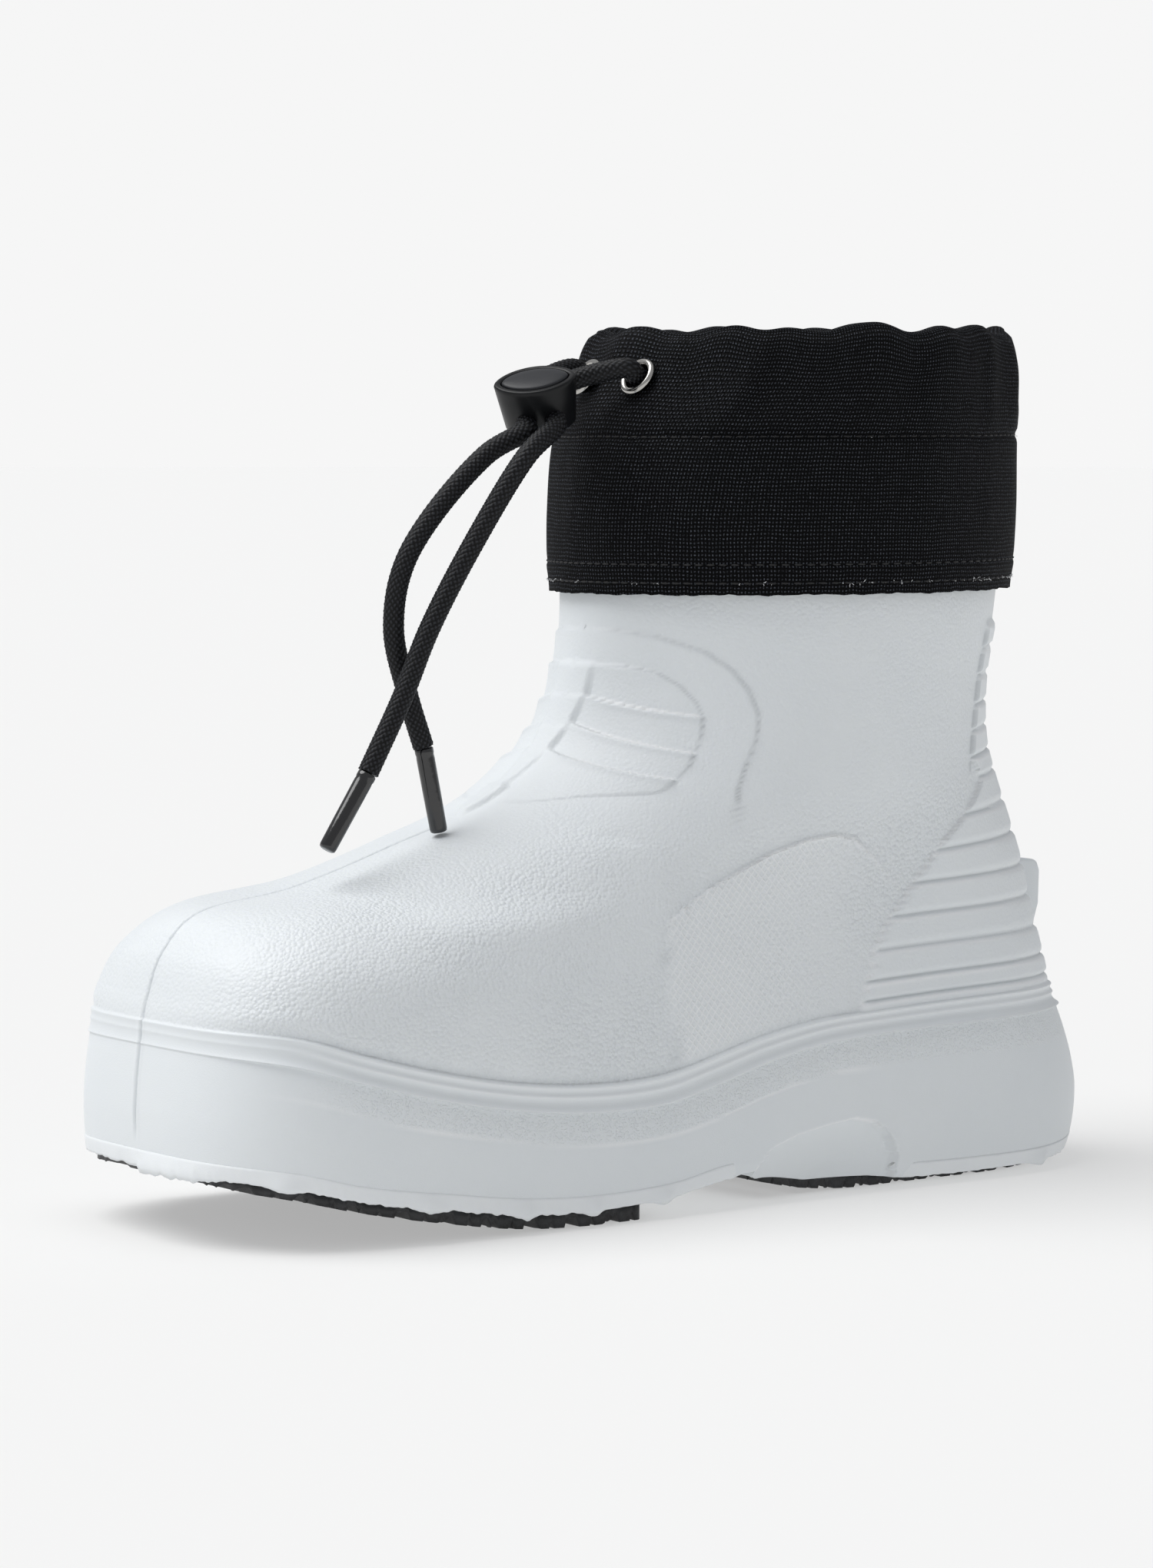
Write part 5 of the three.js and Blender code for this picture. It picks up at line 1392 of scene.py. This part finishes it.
class BOOT_OT_cords(bpy.types.Operator):
    """Braid the two runs of drawcord and crimp their aglets"""

    bl_idname = "boot.cords"
    bl_label = "Drawcord"

    def execute(self, context):
        settings = context.scene.boot_cords
        braid = braided_cord(settings)
        gloss = plain_finish("Heat-shrunk acetate", settings.aglet_color, 0.14, grit=1.5,
                             depth=0.03, gleam=0.8)
        for name, side, fall, tip in (
            ("lateral", 1, OUTER_FALL, OUTER_TIP), ("medial", -1, INNER_FALL, INNER_TIP),
        ):
            points = cord_points(side, fall)
            path, length = route(points, CORD_GAP)
            _, sides, ups = frames_along(path)
            rows = np.arange(-1, len(path) + 1)

            def place(turn, row, path=path, sides=sides, ups=ups):
                i = np.clip(np.round(row).astype(int), 0, len(path) - 1)
                end = (row < 0) | (row > len(path) - 1)
                a = turn * np.pi
                run = i * CORD_GAP
                one = a / (2 * np.pi) * settings.strands + run / settings.lay
                two = a / (2 * np.pi) * settings.strands - run / settings.lay
                over = (np.floor(one) + np.floor(two)) % 2 == 0
                crown_one, crown_two = np.sin(np.pi * (one % 1)), np.sin(np.pi * (two % 1))
                strand = np.where(over, crown_one * (0.55 + 0.45 * crown_two),
                                  crown_two * (0.55 + 0.45 * crown_one))
                r = np.where(end, 0, CORD / 2 - 0.2 + 0.34 * strand)
                xyz = path[i] + (sides[i] * np.cos(a)[:, None] + ups[i] * np.sin(a)[:, None]) * r[:, None]
                return xyz, {"strand": strand}

            def spots(turn, row):
                return np.stack([turn * CORD / 2 * np.pi, row * CORD_GAP], axis=-1)

            bm = wrapped(flat_sheet(list(np.linspace(-1, 1, CORD_COLUMNS)), list(rows)), place, spots)
            cord = add_piece("braid_" + name, bm, braid, ["cord_" + name])
            aglet = self.aglet(name, fall[-1], tip, gloss)
            exit_point = (eyelet_place(side)[1] + ORIGIN) * MM
            others = [aglet]
            if side > 0:
                others += [bpy.data.objects["lock_case"], bpy.data.objects["lock_push_button"]]
        return {"FINISHED"}

    def aglet(self, name, start, tip, material):
        """A plastic sleeve, a little crimped where it grips the cord."""
        a, b = Vector(start), Vector(tip)
        direction = (b - a).normalized()
        r = AGLET_WIDTH / 2
        profile = [(0, 0), (r - 0.25, 0), (r, 0.25), (r + 0.02, 1.2), (r - 0.12, 1.8), (r - 0.05, 2.6),
                   (r - 0.1, AGLET_LENGTH * 0.6), (r - 0.16, AGLET_LENGTH - 0.9),
                   (r - 0.3, AGLET_LENGTH - 0.25), (r - 0.7, AGLET_LENGTH), (0, AGLET_LENGTH)]
        seat = (a + direction * CLEAR + Vector(ORIGIN)) * MM
        bm = spun(profile, 40, False, stand(direction, seat))
        piece = add_piece("tip_" + name, bm, material, ["aglet_" + name])
        piece.data.set_sharp_from_angle(angle=math.radians(55))
        return piece


class BOOT_OT_stage(bpy.types.Operator):
    """Set up the pale floor, the soft light and the camera"""

    bl_idname = "boot.stage"
    bl_label = "Stage"

    def execute(self, context):
        settings = context.scene.boot_stage
        scene = context.scene
        paper, tree, shader = new_material("Pale studio paper")
        place = add(tree, "ShaderNodeTexCoord").outputs["Object"]
        tooth = clouds(tree, place, 900)
        bump = bumps(tree, tooth, 0.02 * MM, 0.3)
        connect(tree, shader, Normal=bump, Base_Color=linear(settings.floor_color),
                Emission_Color=linear(settings.wall_color), Emission_Strength=settings.floor_glow,
                Roughness=0.9, Specular_IOR_Level=0.1)
        bm = bmesh.new()
        bmesh.ops.create_grid(bm, x_segments=1, y_segments=1, size=FLOOR_HALF)
        floor = add_object("floor", bm, paper)
        glow, tree, shader = new_material("Lit studio wall")
        connect(tree, shader, Base_Color=(0, 0, 0, 1), Emission_Color=linear(settings.wall_color),
                Emission_Strength=1)
        bm = bmesh.new()
        bmesh.ops.create_cone(bm, cap_ends=False, segments=96, radius1=WALL_RADIUS, radius2=WALL_RADIUS,
                              depth=WALL_HEIGHT)
        wall = add_object("wall", bm, glow)
        # the wall is only a backcloth: the light comes from the sky and one lamp
        for use in ("visible_diffuse", "visible_glossy", "visible_transmission", "visible_shadow"):
            setattr(wall, use, False)

        world = bpy.data.worlds.new("Studio")
        scene.world = world
        world.use_nodes = True
        sky = world.node_tree.nodes["Background"]
        sky.inputs["Color"].default_value = linear(settings.sky_color)
        sky.inputs["Strength"].default_value = settings.sky
        lamp = bpy.data.lights.new("overhead", "SUN")
        lamp.energy = settings.sun
        lamp.angle = math.radians(settings.softness)
        sun = bpy.data.objects.new("overhead", lamp)
        sun.rotation_euler = Vector(KEY_TRAVEL).to_track_quat("-Z", "Y").to_euler()
        scene.collection.objects.link(sun)

        lens = bpy.data.cameras.new("camera")
        lens.sensor_fit = "VERTICAL"
        lens.sensor_height = 36
        lens.lens = lens.sensor_height * FOCAL_PIXELS / FRAME_HEIGHT
        camera = bpy.data.objects.new("camera", lens)
        camera.location = CAMERA_PLACE
        level_part = math.cos(CAMERA_PITCH)
        look = Vector((-math.sin(CAMERA_AZIMUTH) * level_part, math.cos(CAMERA_AZIMUTH) * level_part,
                       -math.sin(CAMERA_PITCH)))
        camera.rotation_euler = look.to_track_quat("-Z", "Y").to_euler()
        scene.collection.objects.link(camera)
        scene.camera = camera
        scene.view_settings.view_transform = "Standard"
        return {"FINISHED"}


def number(name, text, default, low, high):
    return bpy.props.FloatProperty(name=name, description=text, default=default, min=low, max=high)


def colour(name, text, default):
    return bpy.props.StringProperty(name=name, description=text + ", as an sRGB hex value", default=default)


class ShellSettings(bpy.types.PropertyGroup):
    """Finish of the foam shell and the treads"""

    foam_color: colour("Foam", "The foam's colour", "E6EAEC")
    foam_shade: colour("Foam shade", "The foam's slightly cooler patches", "E1E6E9")
    grain_size: number("Grain size", "Size of a pebble of the grain, in mm", 0.95, 0.3, 5)
    grain_depth: number("Grain depth", "Height of the grain, in mm", 0.36, 0, 1)
    rubber_color: colour("Rubber", "The treads' colour", "141517")


class CuffSettings(bpy.types.PropertyGroup):
    """Cloth and sewing of the cuff"""

    canvas_color: colour("Canvas", "The cloth's colour", "040405")
    # the thread crowns' painted highlight colour
    canvas_crown_highlight: colour("Canvas crown", "The thread crowns' colour", "53575F")
    thread_color: colour("Thread", "The sewing thread's colour", "0D0D0F")
    fuzz_color: colour("Fuzz", "The colour of the cut fibre ends", "E4E6E8")
    warp_pitch: number("Warp pitch", "Distance between warp threads, in mm", 0.9, 0.3, 3)
    weft_pitch: number("Weft pitch", "Distance between weft threads, in mm", 1.0, 0.3, 3)
    gather: number("Gather", "Height of the gathered folds, in mm", 1.0, 0, 4)
    stitch: number("Stitch", "Length of a stitch, in mm", 3.0, 1, 8)


class CordSettings(bpy.types.PropertyGroup):
    """Braid, lock, aglets and eyelets"""

    # the painted highlight on the braid's strand crowns
    braid_crown_highlight: colour("Braid", "The strands' colour", "303237")
    lock_color: colour("Lock", "The lock's colour", "0F1012")
    button_color: colour("Button", "The button's colour", "1F2125")
    aglet_color: colour("Aglet", "The aglets' colour", "0C0C0E")
    nickel_color: colour("Nickel", "The eyelets' colour", "B4B2AE")
    strands: number("Strands", "Strands of the braid in each direction", 12, 4, 32)
    lay: number("Lay", "Length of one strand's step along the cord, in mm", 1.6, 0.4, 6)


class StageSettings(bpy.types.PropertyGroup):
    """Floor and light"""

    floor_color: colour("Floor", "The floor's colour", "B6B6B5")
    wall_color: colour("Wall", "The wall's colour", "F3F3F3")
    floor_glow: number("Floor glow", "Light of the floor's own, which keeps shadows pale", 0.45, 0, 1)
    sky_color: colour("Sky", "The sky's colour", "FBFCFF")
    sky: number("Sky strength", "Strength of the light from all round", 0.46, 0, 5)
    sun: number("Key strength", "Strength of the key light from above and behind", 2.3, 0, 20)
    softness: number("Key softness", "Angle that the key light fills, in degrees", 50, 1, 180)


class BOOT_PT_panel(bpy.types.Panel):
    """The boot's pieces and their settings"""

    bl_label = "Winter boot"
    bl_space_type = "VIEW_3D"
    bl_region_type = "UI"
    bl_category = "Boot"

    def draw(self, context):
        for group in ("boot_shell", "boot_cuff", "boot_cords", "boot_stage"):
            box = self.layout.box()
            settings = getattr(context.scene, group)
            for key in settings.__annotations__:
                box.prop(settings, key)
        for operator in OPERATORS:
            self.layout.operator(operator.bl_idname)


OPERATORS = (
    BOOT_OT_stage, BOOT_OT_shell, BOOT_OT_treads, BOOT_OT_insole, BOOT_OT_cuff, BOOT_OT_eyelets,
    BOOT_OT_lock, BOOT_OT_cords,
)
GROUPS = {
    "boot_shell": ShellSettings, "boot_cuff": CuffSettings, "boot_cords": CordSettings,
    "boot_stage": StageSettings,
}


def register():
    for item in (*GROUPS.values(), *OPERATORS, BOOT_PT_panel):
        bpy.utils.register_class(item)
    for key, group in GROUPS.items():
        setattr(bpy.types.Scene, key, bpy.props.PointerProperty(type=group))


def unregister():
    for key in GROUPS:
        delattr(bpy.types.Scene, key)
    for item in (BOOT_PT_panel, *reversed(OPERATORS), *GROUPS.values()):
        bpy.utils.unregister_class(item)


def main():
    register()
    bpy.ops.boot.stage()
    bpy.ops.boot.lock()
    bpy.ops.boot.cords()
    bpy.ops.boot.shell()
    bpy.ops.boot.treads()
    bpy.ops.boot.insole()
    bpy.ops.boot.cuff()
    bpy.ops.boot.eyelets()


if __name__ == "__main__":
    main()
